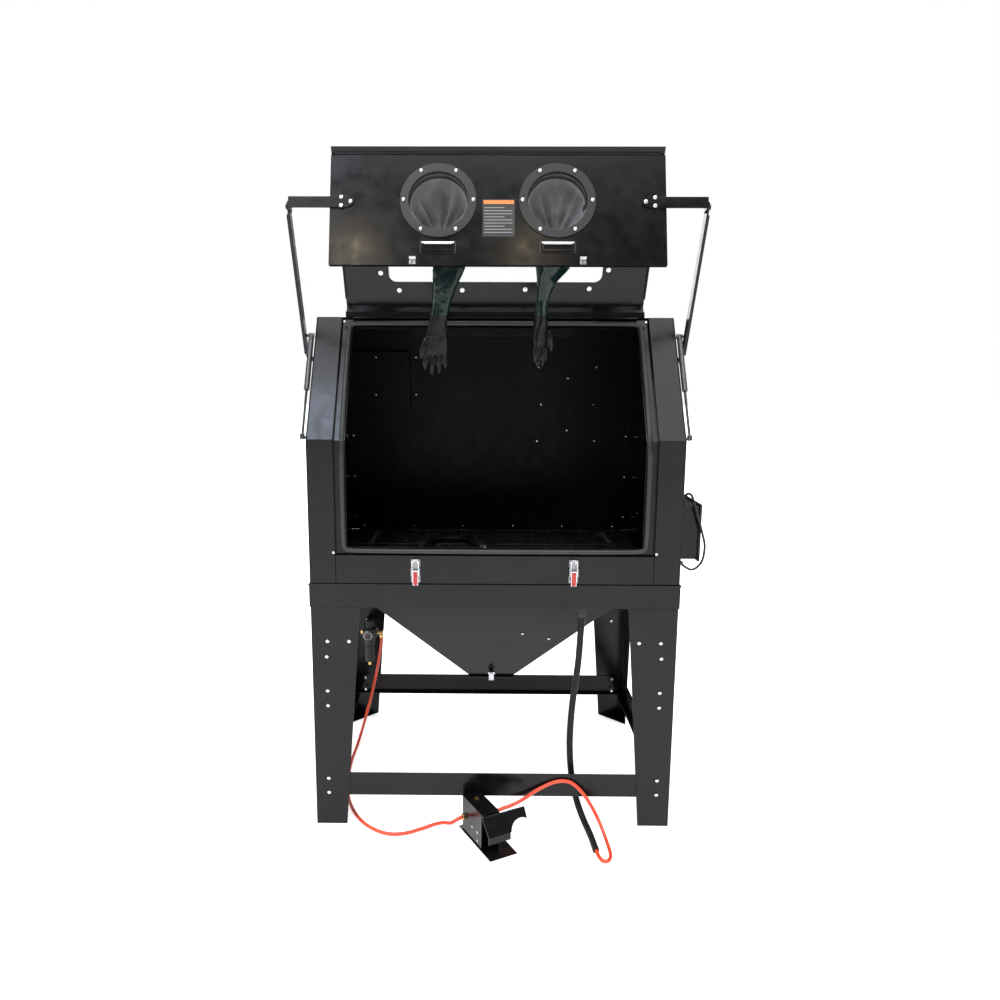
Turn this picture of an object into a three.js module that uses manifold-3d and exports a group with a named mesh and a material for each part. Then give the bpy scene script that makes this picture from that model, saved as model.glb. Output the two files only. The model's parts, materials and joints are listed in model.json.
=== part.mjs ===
// Front-opening abrasive blast cabinet on legs, with its folding lid raised, its gloves hanging
// from the lid and its foot pedal on the floor. Millimetres, +Z up, front towards -Y.
import * as THREE from 'three';
import { mergeVertices } from 'three/addons/utils/BufferGeometryUtils.js';
import Module from 'manifold-3d';

const wasm = await Module();
wasm.setup();

// ---------------------------------------------------------------- driving dimensions
const WIDTH = 1200;                 // across the side panels
const DEPTH = 884;                  // front face to back face
const SHEET = 3;                    // folded sheet steel
const GAP = 0.3;                    // clearance between touching pieces
const SKIRT_Z = 770;                // lower edge of the skirt
const FLOOR_Z = 850;                // top of the skirt, floor of the chamber
const CORNER_Z = 1318;              // where the front face starts to slope
const TOP_Z = 1710;
const TOP_Y = 243;                  // front edge of the roof
const OPENING_HALF = 515;           // half width between the pillars
const LEDGE_DEPTH = 16;             // how far the sealing ledge sits behind the front face
const LEDGE_HALF = 478;             // half width of the clear opening
const SILL_Z = 944;                 // top of the sill face
const OPENING_Z = 968;              // lower edge of the clear opening

const LID_HALF = 506;
const LID_OPEN = 120;               // degrees the window panel has turned up from closed
const LID_FOLD = 105;               // degrees the glove panel has folded under it
const LID_HINGE = { y: 270, z: 1715 };
const FOLD_HINGE = { y: -26, z: 1295 };
const LID_SHEET_Z = 4.3;            // inner face of a lid sheet, out from the fold hinge axis
const GLOVE_PANEL_HEIGHT = 350;
const PORT_X = 179;
const PORT_DROP = 150;              // port centre below the fold hinge
const PORT_BORE = 90;               // radius
const PORT_RIM = 116;               // radius
const WINDOW_HALF = 355;
const WINDOW_TOP_INSET = 84;        // from the bend above the window
const WINDOW_HEIGHT = 300;

const ARM_X = 635;                  // mid-plane of a lift arm
const ARM_PIVOT = { y: 250, z: 1570 };
const ARM_LENGTH = 503.3;
const ARM_OPEN_ANGLE = 115.8;       // degrees from +Y
const STRUT_X = 614;
const STRUT_FOOT = { y: 20, z: 1322 };
const STRUT_ON_ARM = 85;            // from the arm pivot
const STRUT_ROD = 210;
const STRUT_STROKE = 122;
const LATCH_X = 255;
const OUTLET = { x: -400, z: 1505, bore: 50 };   // dust outlet in the back panel
const LEG_TOP = 162;
const LEG_FOOT = 104;

// ---------------------------------------------------------------- finishes
const steel = (color, roughness, metalness) => () =>
  new THREE.MeshStandardMaterial({ color, roughness, metalness });
const BLACK_COAT = steel(0x0b0b0d, 0.28, 0.2);
const DARK_STEEL = steel(0x1a1a1c, 0.45, 0.6);
const CHROME = steel(0xc9ccd0, 0.15, 1);
const RUBBER = steel(0x101011, 0.7, 0);
const GLASS = steel(0xdfe6e6, 0.1, 0);
const RED_GRIP = steel(0xb4221c, 0.4, 0);
const ORANGE_HOSE = steel(0xe2502a, 0.4, 0);
const PLASTIC = steel(0x151517, 0.5, 0);
const BRASS = steel(0xc09a4a, 0.3, 1);
const WHITE_LIGHT = steel(0xe8eaec, 0.4, 0);

// ---------------------------------------------------------------- solids
const model = new THREE.Group();

function solid(geometry) {
  const bare = geometry.clone();
  bare.deleteAttribute('normal');
  bare.deleteAttribute('uv');
  const merged = mergeVertices(bare, 1e-4);
  return new wasm.Manifold(new wasm.Mesh({
    numProp: 3,
    vertProperties: new Float32Array(merged.attributes.position.array),
    triVerts: new Uint32Array(merged.index.array),
  }));
}

function geometryOf(manifold) {
  const mesh = manifold.getMesh();
  const geometry = new THREE.BufferGeometry();
  geometry.setAttribute('position', new THREE.BufferAttribute(mesh.vertProperties.slice(), 3));
  geometry.setIndex(new THREE.BufferAttribute(mesh.triVerts.slice(), 1));
  geometry.computeVertexNormals();
  return geometry;
}

function join(...shapes) {
  return geometryOf(shapes.map(solid).reduce((whole, next) => whole.add(next)));
}

function cut(base, ...tools) {
  return geometryOf(tools.map(solid).reduce((rest, tool) => rest.subtract(tool), solid(base)));
}

function part(name, geometry, finish, parent = model) {
  const mesh = new THREE.Mesh(geometry, finish());
  mesh.name = name;
  parent.add(mesh);
  return mesh;
}

function group(parent, x, y, z, tilt = 0, turn = 0) {
  const node = new THREE.Group();
  node.position.set(x, y, z);
  node.rotation.set(THREE.MathUtils.degToRad(tilt), 0, THREE.MathUtils.degToRad(turn));
  parent.add(node);
  return node;
}

function box(x0, x1, y0, y1, z0, z1) {
  return new THREE.BoxGeometry(x1 - x0, y1 - y0, z1 - z0)
    .translate((x0 + x1) / 2, (y0 + y1) / 2, (z0 + z1) / 2);
}

function outline(points) {
  return new THREE.Shape(points.map(([a, b]) => new THREE.Vector2(a, b)));
}

// A flat shape drawn in Y and Z, given its thickness along X.
function alongX(points, x0, x1) {
  const across = new THREE.Matrix4().makeBasis(
    new THREE.Vector3(0, 1, 0), new THREE.Vector3(0, 0, 1), new THREE.Vector3(1, 0, 0));
  return new THREE.ExtrudeGeometry(outline(points), { depth: x1 - x0, bevelEnabled: false })
    .applyMatrix4(across).translate(x0, 0, 0);
}

// A flat shape drawn in X and Z, given its thickness along Y.
function alongY(points, y0, y1) {
  const across = new THREE.Matrix4().makeBasis(
    new THREE.Vector3(1, 0, 0), new THREE.Vector3(0, 0, 1), new THREE.Vector3(0, -1, 0));
  return new THREE.ExtrudeGeometry(outline(points), { depth: y1 - y0, bevelEnabled: false })
    .applyMatrix4(across).translate(0, y1, 0);
}

// A folded sheet: the line of its inner face in Y and Z, and its thickness to the left of the line.
function foldedLine(line, thickness) {
  const outer = line.map(([y, z], i) => {
    const before = line[Math.max(i - 1, 0)];
    const after = line[Math.min(i + 1, line.length - 1)];
    const a = new THREE.Vector2(y - before[0], z - before[1]);
    const b = new THREE.Vector2(after[0] - y, after[1] - z);
    if (i === 0) a.copy(b);
    if (i === line.length - 1) b.copy(a);
    const na = new THREE.Vector2(-a.y, a.x).normalize();
    const nb = new THREE.Vector2(-b.y, b.x).normalize();
    const mid = na.clone().add(nb).normalize();
    const reach = thickness / mid.dot(na);
    return [y + mid.x * reach, z + mid.y * reach];
  });
  return [...line, ...outer.reverse()];
}

function cylinder(radius, length, axis, x, y, z, sides = 16) {
  const shape = new THREE.CylinderGeometry(radius, radius, length, sides);
  if (axis === 'x') shape.rotateZ(Math.PI / 2);
  if (axis === 'z') shape.rotateX(Math.PI / 2);
  return shape.translate(x, y, z);
}

function ring(inner, outer, z0, z1, sides = 32) {
  const profile = [[inner, z0], [outer, z0], [outer, z1], [inner, z1], [inner, z0]];
  return new THREE.LatheGeometry(profile.map(([r, h]) => new THREE.Vector2(r, h)), sides)
    .rotateX(Math.PI / 2);
}

function roundedPlate(halfWidth, y0, y1, radius, z0, z1) {
  const shape = new THREE.Shape();
  shape.moveTo(-halfWidth + radius, y0);
  shape.lineTo(halfWidth - radius, y0);
  shape.absarc(halfWidth - radius, y0 + radius, radius, -Math.PI / 2, 0);
  shape.absarc(halfWidth - radius, y1 - radius, radius, 0, Math.PI / 2);
  shape.absarc(-halfWidth + radius, y1 - radius, radius, Math.PI / 2, Math.PI);
  shape.absarc(-halfWidth + radius, y0 + radius, radius, Math.PI, 1.5 * Math.PI);
  return new THREE.ExtrudeGeometry(shape, { depth: z1 - z0, bevelEnabled: false, curveSegments: 4 })
    .translate(0, 0, z0);
}

function circlePoints(radius, sides) {
  return Array.from({ length: sides }, (_, i) => {
    const a = (i / sides) * 2 * Math.PI;
    return [radius * Math.cos(a), radius * Math.sin(a)];
  });
}

function tube(route, diameter, steps, sides = 8) {
  const curve = new THREE.CatmullRomCurve3(
    route.map(([x, y, z]) => new THREE.Vector3(x, y, z)), false, 'centripetal');
  return new THREE.ExtrudeGeometry(outline(circlePoints(diameter / 2, sides)),
    { steps, extrudePath: curve, bevelEnabled: false });
}

const SIDES = [['left', -1], ['right', 1]];

// Mirrors X limits for the right or left side of the cabinet.
function sided(sign, inner, outer) {
  return sign < 0 ? [-outer, -inner] : [inner, outer];
}

// ---------------------------------------------------------------- cabinet shell
const slope = new THREE.Vector2(TOP_Y, TOP_Z - CORNER_Z).normalize();
const MITRE = slope.x / (1 + slope.y);
const SLOPE_ANGLE = THREE.MathUtils.radToDeg(slope.angle());

function buildShell() {
  const half = WIDTH / 2;
  const profile = [[0, FLOOR_Z], [DEPTH, FLOOR_Z], [DEPTH, TOP_Z], [TOP_Y, TOP_Z], [0, CORNER_Z]];
  for (const [side, sign] of SIDES) {
    const [x0, x1] = sided(sign, half - SHEET, half);
    part(`side_panel_${side}`, alongX(profile, x0, x1), BLACK_COAT);
  }
  const inner = half - SHEET - GAP;
  const outletHole = cylinder(OUTLET.bore, 3 * SHEET, 'y', OUTLET.x, DEPTH - SHEET / 2, OUTLET.z, 24);
  part('back_panel', cut(box(-inner, inner, DEPTH - SHEET, DEPTH, FLOOR_Z + GAP, TOP_Z), outletHole),
    BLACK_COAT);
}

// A pillar is a folded channel: front face, return at the opening, and the ledge under the seal.
function buildPillars() {
  const face = [[0, FLOOR_Z + GAP], [0, CORNER_Z], [TOP_Y, TOP_Z]];
  const ledge = face.map(([y, z], i) => {
    const [dy, dz] = i === 2 ? [slope.y, -slope.x] : [1, i === 1 ? -MITRE : 0];
    return [y + dy * LEDGE_DEPTH, z + dz * LEDGE_DEPTH];
  });
  const inward = (line, thickness) => foldedLine([...line].reverse(), thickness);
  for (const [side, sign] of SIDES) {
    const [f0, f1] = sided(sign, OPENING_HALF, WIDTH / 2 - SHEET - GAP);
    const [r0, r1] = sided(sign, OPENING_HALF, OPENING_HALF + SHEET);
    const [l0, l1] = sided(sign, LEDGE_HALF, OPENING_HALF + SHEET);
    part(`pillar_${side}`, join(
      alongX(inward(face, SHEET), f0, f1),
      alongX(inward(face, LEDGE_DEPTH), r0, r1),
      alongX(inward(ledge, SHEET), l0, l1),
    ), BLACK_COAT);
  }
}

function buildFront() {
  const half = OPENING_HALF - GAP - 1;
  const clear = LEDGE_HALF - GAP;
  part('front_sill', join(
    box(-half, half, 0, SHEET, FLOOR_Z + GAP, SILL_Z),
    box(-clear, clear, 0, LEDGE_DEPTH + SHEET, SILL_Z - SHEET, SILL_Z),
    box(-clear, clear, LEDGE_DEPTH, LEDGE_DEPTH + SHEET, SILL_Z - SHEET, OPENING_Z),
  ), BLACK_COAT);
  const along = (distance, depth) => [
    TOP_Y - slope.x * distance + slope.y * depth, TOP_Z - slope.y * distance - slope.x * depth];
  const back = DEPTH - SHEET - GAP;
  const roofHalf = WIDTH / 2 - SHEET - GAP;
  part('top_panel', join(
    box(-roofHalf, roofHalf, TOP_Y + 19, back, TOP_Z - SHEET, TOP_Z),
    alongX(orient([
      along(0.5, 0.2), along(4, 0.2), along(4, LEDGE_DEPTH), along(34, LEDGE_DEPTH),
      along(34, LEDGE_DEPTH + SHEET), [TOP_Y + 20, TOP_Z - SHEET], [TOP_Y + 20, TOP_Z],
    ]), -clear, clear),
  ), BLACK_COAT);
}

// The bulb seal runs once round the clear opening and bends where the front face does.
function buildSeal() {
  const mid = LEDGE_HALF + 11;
  const rise = (y, z, off) => [y - slope.y * off, z + slope.x * off];
  const base = LEDGE_DEPTH - 10.5;
  const low = OPENING_Z - 12;
  const radius = 26;
  const upper = 21;
  const slopeAt = (distance) => {
    const [y, z] = [TOP_Y - slope.x * distance, TOP_Z - slope.y * distance];
    return rise(y, z, -base);
  };
  const length = Math.hypot(TOP_Y, TOP_Z - CORNER_Z);
  const route = [];
  const corner = (cx, startAngle, place) => {
    for (let i = 0; i <= 3; i += 1) {
      const a = startAngle + (i / 3) * (Math.PI / 2);
      route.push(place(cx + radius * Math.cos(a), radius * Math.sin(a)));
    }
  };
  corner(mid - radius, -Math.PI / 2, (x, h) => [x, base, low + radius + h]);
  const bend = [[base, CORNER_Z - 30], [base, CORNER_Z - MITRE * base], slopeAt(length - 42)];
  bend.forEach((place) => route.push([mid, ...place]));
  corner(mid - radius, 0, (x, h) => [x, ...slopeAt(upper + radius - h)]);
  corner(-mid + radius, Math.PI / 2, (x, h) => [x, ...slopeAt(upper + radius - h)]);
  bend.reverse().forEach((place) => route.push([-mid, ...place]));
  corner(-mid + radius, Math.PI, (x, h) => [x, base, low + radius + h]);
  const corners = route.map(([x, y, z]) => new THREE.Vector3(x, y, z));
  part('door_seal', sweepLoop(corners, 9, 8), RUBBER);
}

// Sweeps a round section round a closed chain of points.
function sweepLoop(points, radius, sides) {
  const count = points.length;
  const positions = [];
  const index = [];
  points.forEach((p, i) => {
    const along = points[(i + 1) % count].clone().sub(points[(i + count - 1) % count]).normalize();
    const out = new THREE.Vector3(0, 1, 0);
    out.addScaledVector(along, -out.dot(along)).normalize();
    const side = new THREE.Vector3().crossVectors(along, out);
    for (let k = 0; k < sides; k += 1) {
      const a = (k / sides) * 2 * Math.PI;
      const q = p.clone().addScaledVector(out, radius * Math.cos(a));
      q.addScaledVector(side, radius * Math.sin(a));
      positions.push(q.x, q.y, q.z);
      const next = (i + 1) % count;
      const a0 = i * sides + k;
      const a1 = i * sides + ((k + 1) % sides);
      const b0 = next * sides + k;
      const b1 = next * sides + ((k + 1) % sides);
      index.push(a0, a1, b1, a0, b1, b0);
    }
  });
  const loop = new THREE.BufferGeometry();
  loop.setAttribute('position', new THREE.BufferAttribute(new Float32Array(positions), 3));
  loop.setIndex(index);
  return loop;
}

// ---------------------------------------------------------------- base, hopper and legs
const SKIRT_OUT = 3;                // the skirt stands this far outside the shell
const SKIRT_RETURN = 44;            // width of the flange folded in along its lower edge
const HOPPER = {
  halfTop: 484, frontTop: 24, backTop: 850, topZ: 834, halfOut: 80, frontOut: 350, backOut: 510, outZ: 396,
};

function buildBase() {
  const half = WIDTH / 2 + SKIRT_OUT;
  const wall = (inset, z0, z1) => box(
    -half + inset, half - inset, -SKIRT_OUT + inset, DEPTH + SKIRT_OUT - inset, z0, z1);
  part('skirt_frame', cut(
    join(wall(0, SKIRT_Z, FLOOR_Z - GAP), wall(-2, FLOOR_Z - 6, FLOOR_Z - GAP)),
    wall(SHEET + 1, SKIRT_Z + SHEET, FLOOR_Z - 12),
    wall(SKIRT_RETURN, SKIRT_Z - 1, FLOOR_Z - 12),
    box(-HOPPER.halfTop - 4, HOPPER.halfTop + 4, HOPPER.frontTop - 4, HOPPER.backTop + 4, 700, 900),
  ), BLACK_COAT);
}

// A four-sided funnel surface with a wall, open at both ends.
function funnel(top, bottom, z0, z1) {
  const corners = ([x, y0, y1], z) => [[-x, y0, z], [x, y0, z], [x, y1, z], [-x, y1, z]];
  const positions = [...corners(bottom, z0), ...corners(top, z1)].flat();
  const faces = [0, 2, 1, 0, 3, 2, 4, 5, 6, 4, 6, 7];
  for (let i = 0; i < 4; i += 1) {
    const j = (i + 1) % 4;
    faces.push(i, j, j + 4, i, j + 4, i + 4);
  }
  const shape = new THREE.BufferGeometry();
  shape.setAttribute('position', new THREE.BufferAttribute(new Float32Array(positions), 3));
  shape.setIndex(faces);
  return shape;
}

function buildHopper() {
  const h = HOPPER;
  const wall = SHEET + 1;
  const outer = funnel([h.halfTop, h.frontTop, h.backTop], [h.halfOut, h.frontOut, h.backOut],
    h.outZ, h.topZ);
  const inner = funnel([h.halfTop - wall, h.frontTop + wall, h.backTop - wall],
    [h.halfOut - wall, h.frontOut + wall, h.backOut - wall], h.outZ - 1, h.topZ + 1);
  part('hopper', cut(outer, inner), BLACK_COAT);

  // The clean-out door closes the outlet from below, hinged at its back edge.
  const door = group(model, 0, h.backOut + 6, h.outZ - 6);
  part('hopper_door', join(
    box(-h.halfOut - 6, h.halfOut + 6, h.frontOut - h.backOut - 14, -4, 0.5, 4.5),
    cylinder(4, 2 * h.halfOut, 'x', 0, 0, 0, 10),
    box(-h.halfOut, h.halfOut, -8, 0, 0.5, 3.5),
  ), BLACK_COAT, door);
  const faceTilt = THREE.MathUtils.radToDeg(Math.atan2(h.frontOut - h.frontTop, h.topZ - h.outZ));
  const catchPivot = group(model, 0, 314, 421.6, faceTilt);
  part('hopper_catch', join(
    cylinder(4, 26, 'x', 0, 0, 0, 10),
    box(-9, 9, -5, 0, -44, 0),
    box(-6, 6, -9, -5, -4, 8),
  ), CHROME, catchPivot);
}

function buildGrate() {
  const x = 560;
  const slots = [];
  for (const x0 of [-530, 20]) {
    for (const [y0, y1] of [[56, 310], [335, 575], [600, 842]]) {
      slots.push(box(x0, x0 + 510, y0, y1, FLOOR_Z - 20, FLOOR_Z + 20));
    }
  }
  part('work_grate', cut(box(-x, x, 30, 868, FLOOR_Z + GAP, FLOOR_Z + 5), ...slots), DARK_STEEL);
}

// A leg is a tapered angle with a three-cornered plate across its foot.
function buildLegs() {
  const top = SKIRT_Z - GAP;
  for (const [side, sx] of SIDES) {
    for (const [end, sy] of [['front', -1], ['rear', 1]]) {
      const half = WIDTH / 2;
      const facePoints = [
        [sx * half, 0], [sx * (half - LEG_FOOT), 0], [sx * (half - LEG_TOP), top], [sx * half, top]];
      const y = sy < 0 ? [0, SHEET] : [DEPTH - SHEET, DEPTH];
      const edge = sy < 0 ? 0 : DEPTH;
      const sidePoints = [[edge, 0], [edge - sy * LEG_FOOT, 0], [edge - sy * LEG_TOP, top], [edge, top]];
      const [x0, x1] = sided(sx, half - SHEET, half);
      const foot = outlineZ([
        [sx * half, edge], [sx * (half - LEG_FOOT), edge], [sx * half, edge - sy * LEG_FOOT]], 0, 4);
      part(`leg_${end}_${side}`, join(
        alongY(orient(facePoints), ...y), alongX(orient(sidePoints), x0, x1), foot), BLACK_COAT);
    }
  }
}

// Turns a chain of points anticlockwise.
function orient(points) {
  const flat = points.map(([a, b]) => new THREE.Vector2(a, b));
  return THREE.ShapeUtils.isClockWise(flat) ? [...points].reverse() : points;
}

function outlineZ(points, z0, z1) {
  return new THREE.ExtrudeGeometry(outline(orient(points)), { depth: z1 - z0, bevelEnabled: false })
    .translate(0, 0, z0);
}

function buildBraces() {
  const half = WIDTH / 2 - SHEET - GAP;
  const inner = SHEET + GAP;
  const angle = (y0, y1, lip) => join(
    box(-half, half, y0, y1, 105, 187), box(-half, half, Math.min(y0, lip), Math.max(y1, lip), 105, 108));
  part('brace_front', angle(inner, inner + SHEET, inner + 26), BLACK_COAT);
  part('brace_rear', angle(DEPTH - inner - SHEET, DEPTH - inner, DEPTH - inner - 26), BLACK_COAT);
  for (const [side, sign] of SIDES) {
    const [x0, x1] = sided(sign, half - SHEET, half);
    const [l0, l1] = sided(sign, half - 26, half);
    part(`brace_${side}`, join(
      box(x0, x1, 36, DEPTH - 36, 105, 187), box(l0, l1, 36, DEPTH - 36, 105, 108)), BLACK_COAT);
  }
}

// ---------------------------------------------------------------- inside and back of the cabinet
function buildInterior() {
  const frame = group(model, OUTLET.x, DEPTH + GAP, OUTLET.z);
  part('dust_outlet', cut(join(
    cylinder(54, 62, 'y', 0, 31, 0, 24),
    box(-80, 80, 0, 4, -80, 80),
  ), cylinder(OUTLET.bore, 140, 'y', 0, 20, 0, 24)), DARK_STEEL, frame);
  part('work_light', join(
    box(-300, 300, 500, 560, TOP_Z - 42, TOP_Z - SHEET - GAP),
    box(-286, 286, 510, 550, TOP_Z - 56, TOP_Z - 41),
  ), WHITE_LIGHT);

  const gun = group(model, -40, 372, FLOOR_Z + 34, 0, 10);
  part('blast_gun', join(
    box(-16, 16, -46, 46, -22, 22),
    cylinder(11, 70, 'y', 0, -78, 4, 12),
    cylinder(15, 26, 'y', 0, -54, 4, 12),
    box(-13, 13, 20, 46, -28, -20),
  ), DARK_STEEL, gun);
}

const MEDIA_HOSE = [
  [-48.6, 420.6, 884], [-53.9, 451, 883.4], [-60, 492, 876], [-74, 548, 869], [-106, 594, 869],
  [-155, 612, 869], [-206, 592, 869], [-236, 545, 869], [-243, 488, 869], [-232, 420, 869],
  [-198, 344, 869], [-140, 276, 869], [-64, 238, 869], [24, 226, 869], [112, 226, 869],
  [184, 226, 869], [238, 216, 870], [273, 196, 867], [287, 166, 852], [290, 138, 827],
  [290, 114, 800], [290, 100, 782],
];

// ---------------------------------------------------------------- latches on the sill
function buildLatches() {
  for (const [side, sign] of SIDES) {
    const base = group(model, sign * LATCH_X, -GAP, 0);
    part(`latch_base_${side}`, join(
      box(-15, 15, -3, 0, 856, 932),
      box(-15, -12, -16, 0, 880, 906),
      box(12, 15, -16, 0, 880, 906),
    ), CHROME, base);
    const lever = group(base, 0, -11, 893);
    part(`latch_lever_${side}`, join(
      cylinder(3, 23.2, 'x', 0, 0, 0, 10),
      box(-8.7, 8.7, -9, -2.5, -44, 4),
    ), RED_GRIP, lever);
    // The loop hooks over the keeper on the lid; it swings on its own pin in the lever.
    const loop = group(lever, 0, -7, -8);
    part(`latch_loop_${side}`, join(
      box(-11.4, -9.1, -2, 2, -4, 50),
      box(9.1, 11.4, -2, 2, -4, 50),
      box(-11.4, 11.4, -2, 2, 42, 50),
    ), CHROME, loop);
  }
}

// ---------------------------------------------------------------- the folding lid
const windowPivot = group(model, 0, LID_HINGE.y, LID_HINGE.z, -LID_OPEN);
const foldY = FOLD_HINGE.y - LID_HINGE.y;
const foldZ = FOLD_HINGE.z - LID_HINGE.z;
const windowFrame = group(windowPivot, 0, foldY, foldZ, SLOPE_ANGLE);
const glovePivot = group(windowPivot, 0, foldY, foldZ, LID_FOLD);
const gloveFrame = group(glovePivot, 0, 0, 0, 90);
const BEND = (-foldY - 37) / slope.x;   // up the slope from the fold hinge to the upper bend

// In windowFrame and gloveFrame, X runs across, Y up the panel from the fold hinge, Z outwards.
function buildWindowPanel() {
  const outer = LID_SHEET_Z + 2.5;
  const flangeEnd = [BEND + 37 * slope.x - 6 * slope.x, outer - 2.5 - 31 * slope.y];
  const line = [[flangeEnd[0], flangeEnd[1]], [BEND, LID_SHEET_Z], [-20, LID_SHEET_Z]];
  const sheet = alongX(orient(foldedLine(line, -2.5)), -LID_HALF, LID_HALF);
  const flange = (x0, x1) => box(x0, x1, 45, BEND - 30, -9, LID_SHEET_Z + 1);
  const frameTop = BEND - WINDOW_TOP_INSET;
  const frameLow = frameTop - WINDOW_HEIGHT;
  part('window_panel', cut(
    join(sheet, flange(-LID_HALF, -LID_HALF + 2.5), flange(LID_HALF - 2.5, LID_HALF),
      roundedPlate(WINDOW_HALF + 42, frameLow - 42, frameTop + 42, 40, LID_SHEET_Z + 1, outer + 3)),
    roundedPlate(WINDOW_HALF, frameLow, frameTop, 24, -20, 30),
    roundedPlate(WINDOW_HALF + 12, frameLow - 12, frameTop + 12, 30, LID_SHEET_Z + 1, outer - 0.5),
  ), BLACK_COAT, windowFrame);
  part('window_glass',
    roundedPlate(WINDOW_HALF - 0.5, frameLow + 0.5, frameTop - 0.5, 24, LID_SHEET_Z, outer - 0.3),
    GLASS, windowFrame);
}

function buildGlovePanel() {
  const z0 = LID_SHEET_Z - 2.3;
  const z1 = z0 + 2.5;
  const low = -GLOVE_PANEL_HEIGHT;
  const portHole = (x) => cylinder(PORT_BORE + 8, 40, 'z', x, -PORT_DROP, 0, 28);
  const inside = LID_HALF - 2.5;
  part('glove_panel', cut(
    box(-LID_HALF, LID_HALF, low, -6, z0 - 13, z1),
    box(-inside, inside, low + 2.5, -5, z0 - 14, z0),
    box(-LID_HALF - 1, LID_HALF + 1, -45, -5, z0 - 14, z0),
    portHole(-PORT_X), portHole(PORT_X)), BLACK_COAT, gloveFrame);

  for (const [side, sign] of SIDES) {
    const x = sign * PORT_X;
    const port = group(gloveFrame, x, -PORT_DROP, 0);
    part(`glove_port_${side}`, join(
      ring(PORT_BORE, PORT_RIM, z1 + GAP, z1 + 5, 32),
      ring(PORT_BORE, PORT_BORE + 7, z0 - 26, z1 + 1, 32),
    ), RUBBER, port);

    const handle = group(gloveFrame, x, -284, z1 + GAP);
    part(`drop_handle_${side}`, join(
      cylinder(4, 96, 'x', 0, 0, 5, 10),
      box(-48, -41, -22, 0, 1.5, 8),
      box(41, 48, -22, 0, 1.5, 8),
      box(-48, 48, -26, -19, 1.5, 8),
    ), CHROME, handle);

    const bracket = group(gloveFrame, 0, -156, 0);
    const inner = 433;
    const outerX = ARM_X - 3.4;
    const bar = outlineZ([[sign * inner, -7], [sign * inner, 7], [sign * (inner + 22), 17.5],
      [sign * outerX, 17.5], [sign * outerX, -17.5], [sign * (inner + 22), -17.5]], z1 + GAP, z1 + 5);
    const [e0, e1] = sided(sign, outerX - 5, outerX);
    part(`arm_bracket_${side}`, join(bar, box(e0, e1, -17.5, 17.5, -30, z1 + 5)), BLACK_COAT, bracket);
  }
}

// Each glove hangs from its port on a hinge line just behind the panel.
const GLOVE_PIVOT_IN = 34;
function buildGloves() {
  for (const [side, sign] of SIDES) {
    const pivot = group(gloveFrame, sign * PORT_X, -PORT_DROP, -GLOVE_PIVOT_IN);
    const hang = group(pivot, 0, 0, 0, -90 - (LID_FOLD - LID_OPEN));
    const sections = [[0, -26, 62, 26], [0, -120, 50, 32], [2, -250, 36, 30], [4, -380, 30, 24],
      [6, -430, 32, 18], [6, -478, 34, 15], [6, -520, 20, 11]];
    part(`glove_${side}`, loft(sections.map(([y, z, rx, ry]) => [0, y + 26, z, rx, ry]), 12), RUBBER, hang);
  }
}

// A closed lofted body through level elliptical sections.
function loft(sections, sides) {
  const positions = [];
  const index = [];
  sections.forEach(([x, y, z, rx, ry]) => {
    circlePoints(1, sides).forEach(([c, s]) => positions.push(x + rx * c, y + ry * s, z));
  });
  const rows = sections.length;
  for (let r = 0; r < rows - 1; r += 1) {
    for (let k = 0; k < sides; k += 1) {
      const a = r * sides + k;
      const b = r * sides + ((k + 1) % sides);
      index.push(a, b + sides, b, a, a + sides, b + sides);
    }
  }
  const last = (rows - 1) * sides;
  for (let k = 1; k < sides - 1; k += 1) {
    index.push(0, k, k + 1);
    index.push(last, last + k + 1, last + k);
  }
  const body = new THREE.BufferGeometry();
  body.setAttribute('position', new THREE.BufferAttribute(new Float32Array(positions), 3));
  body.setIndex(index);
  return body;
}

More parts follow.
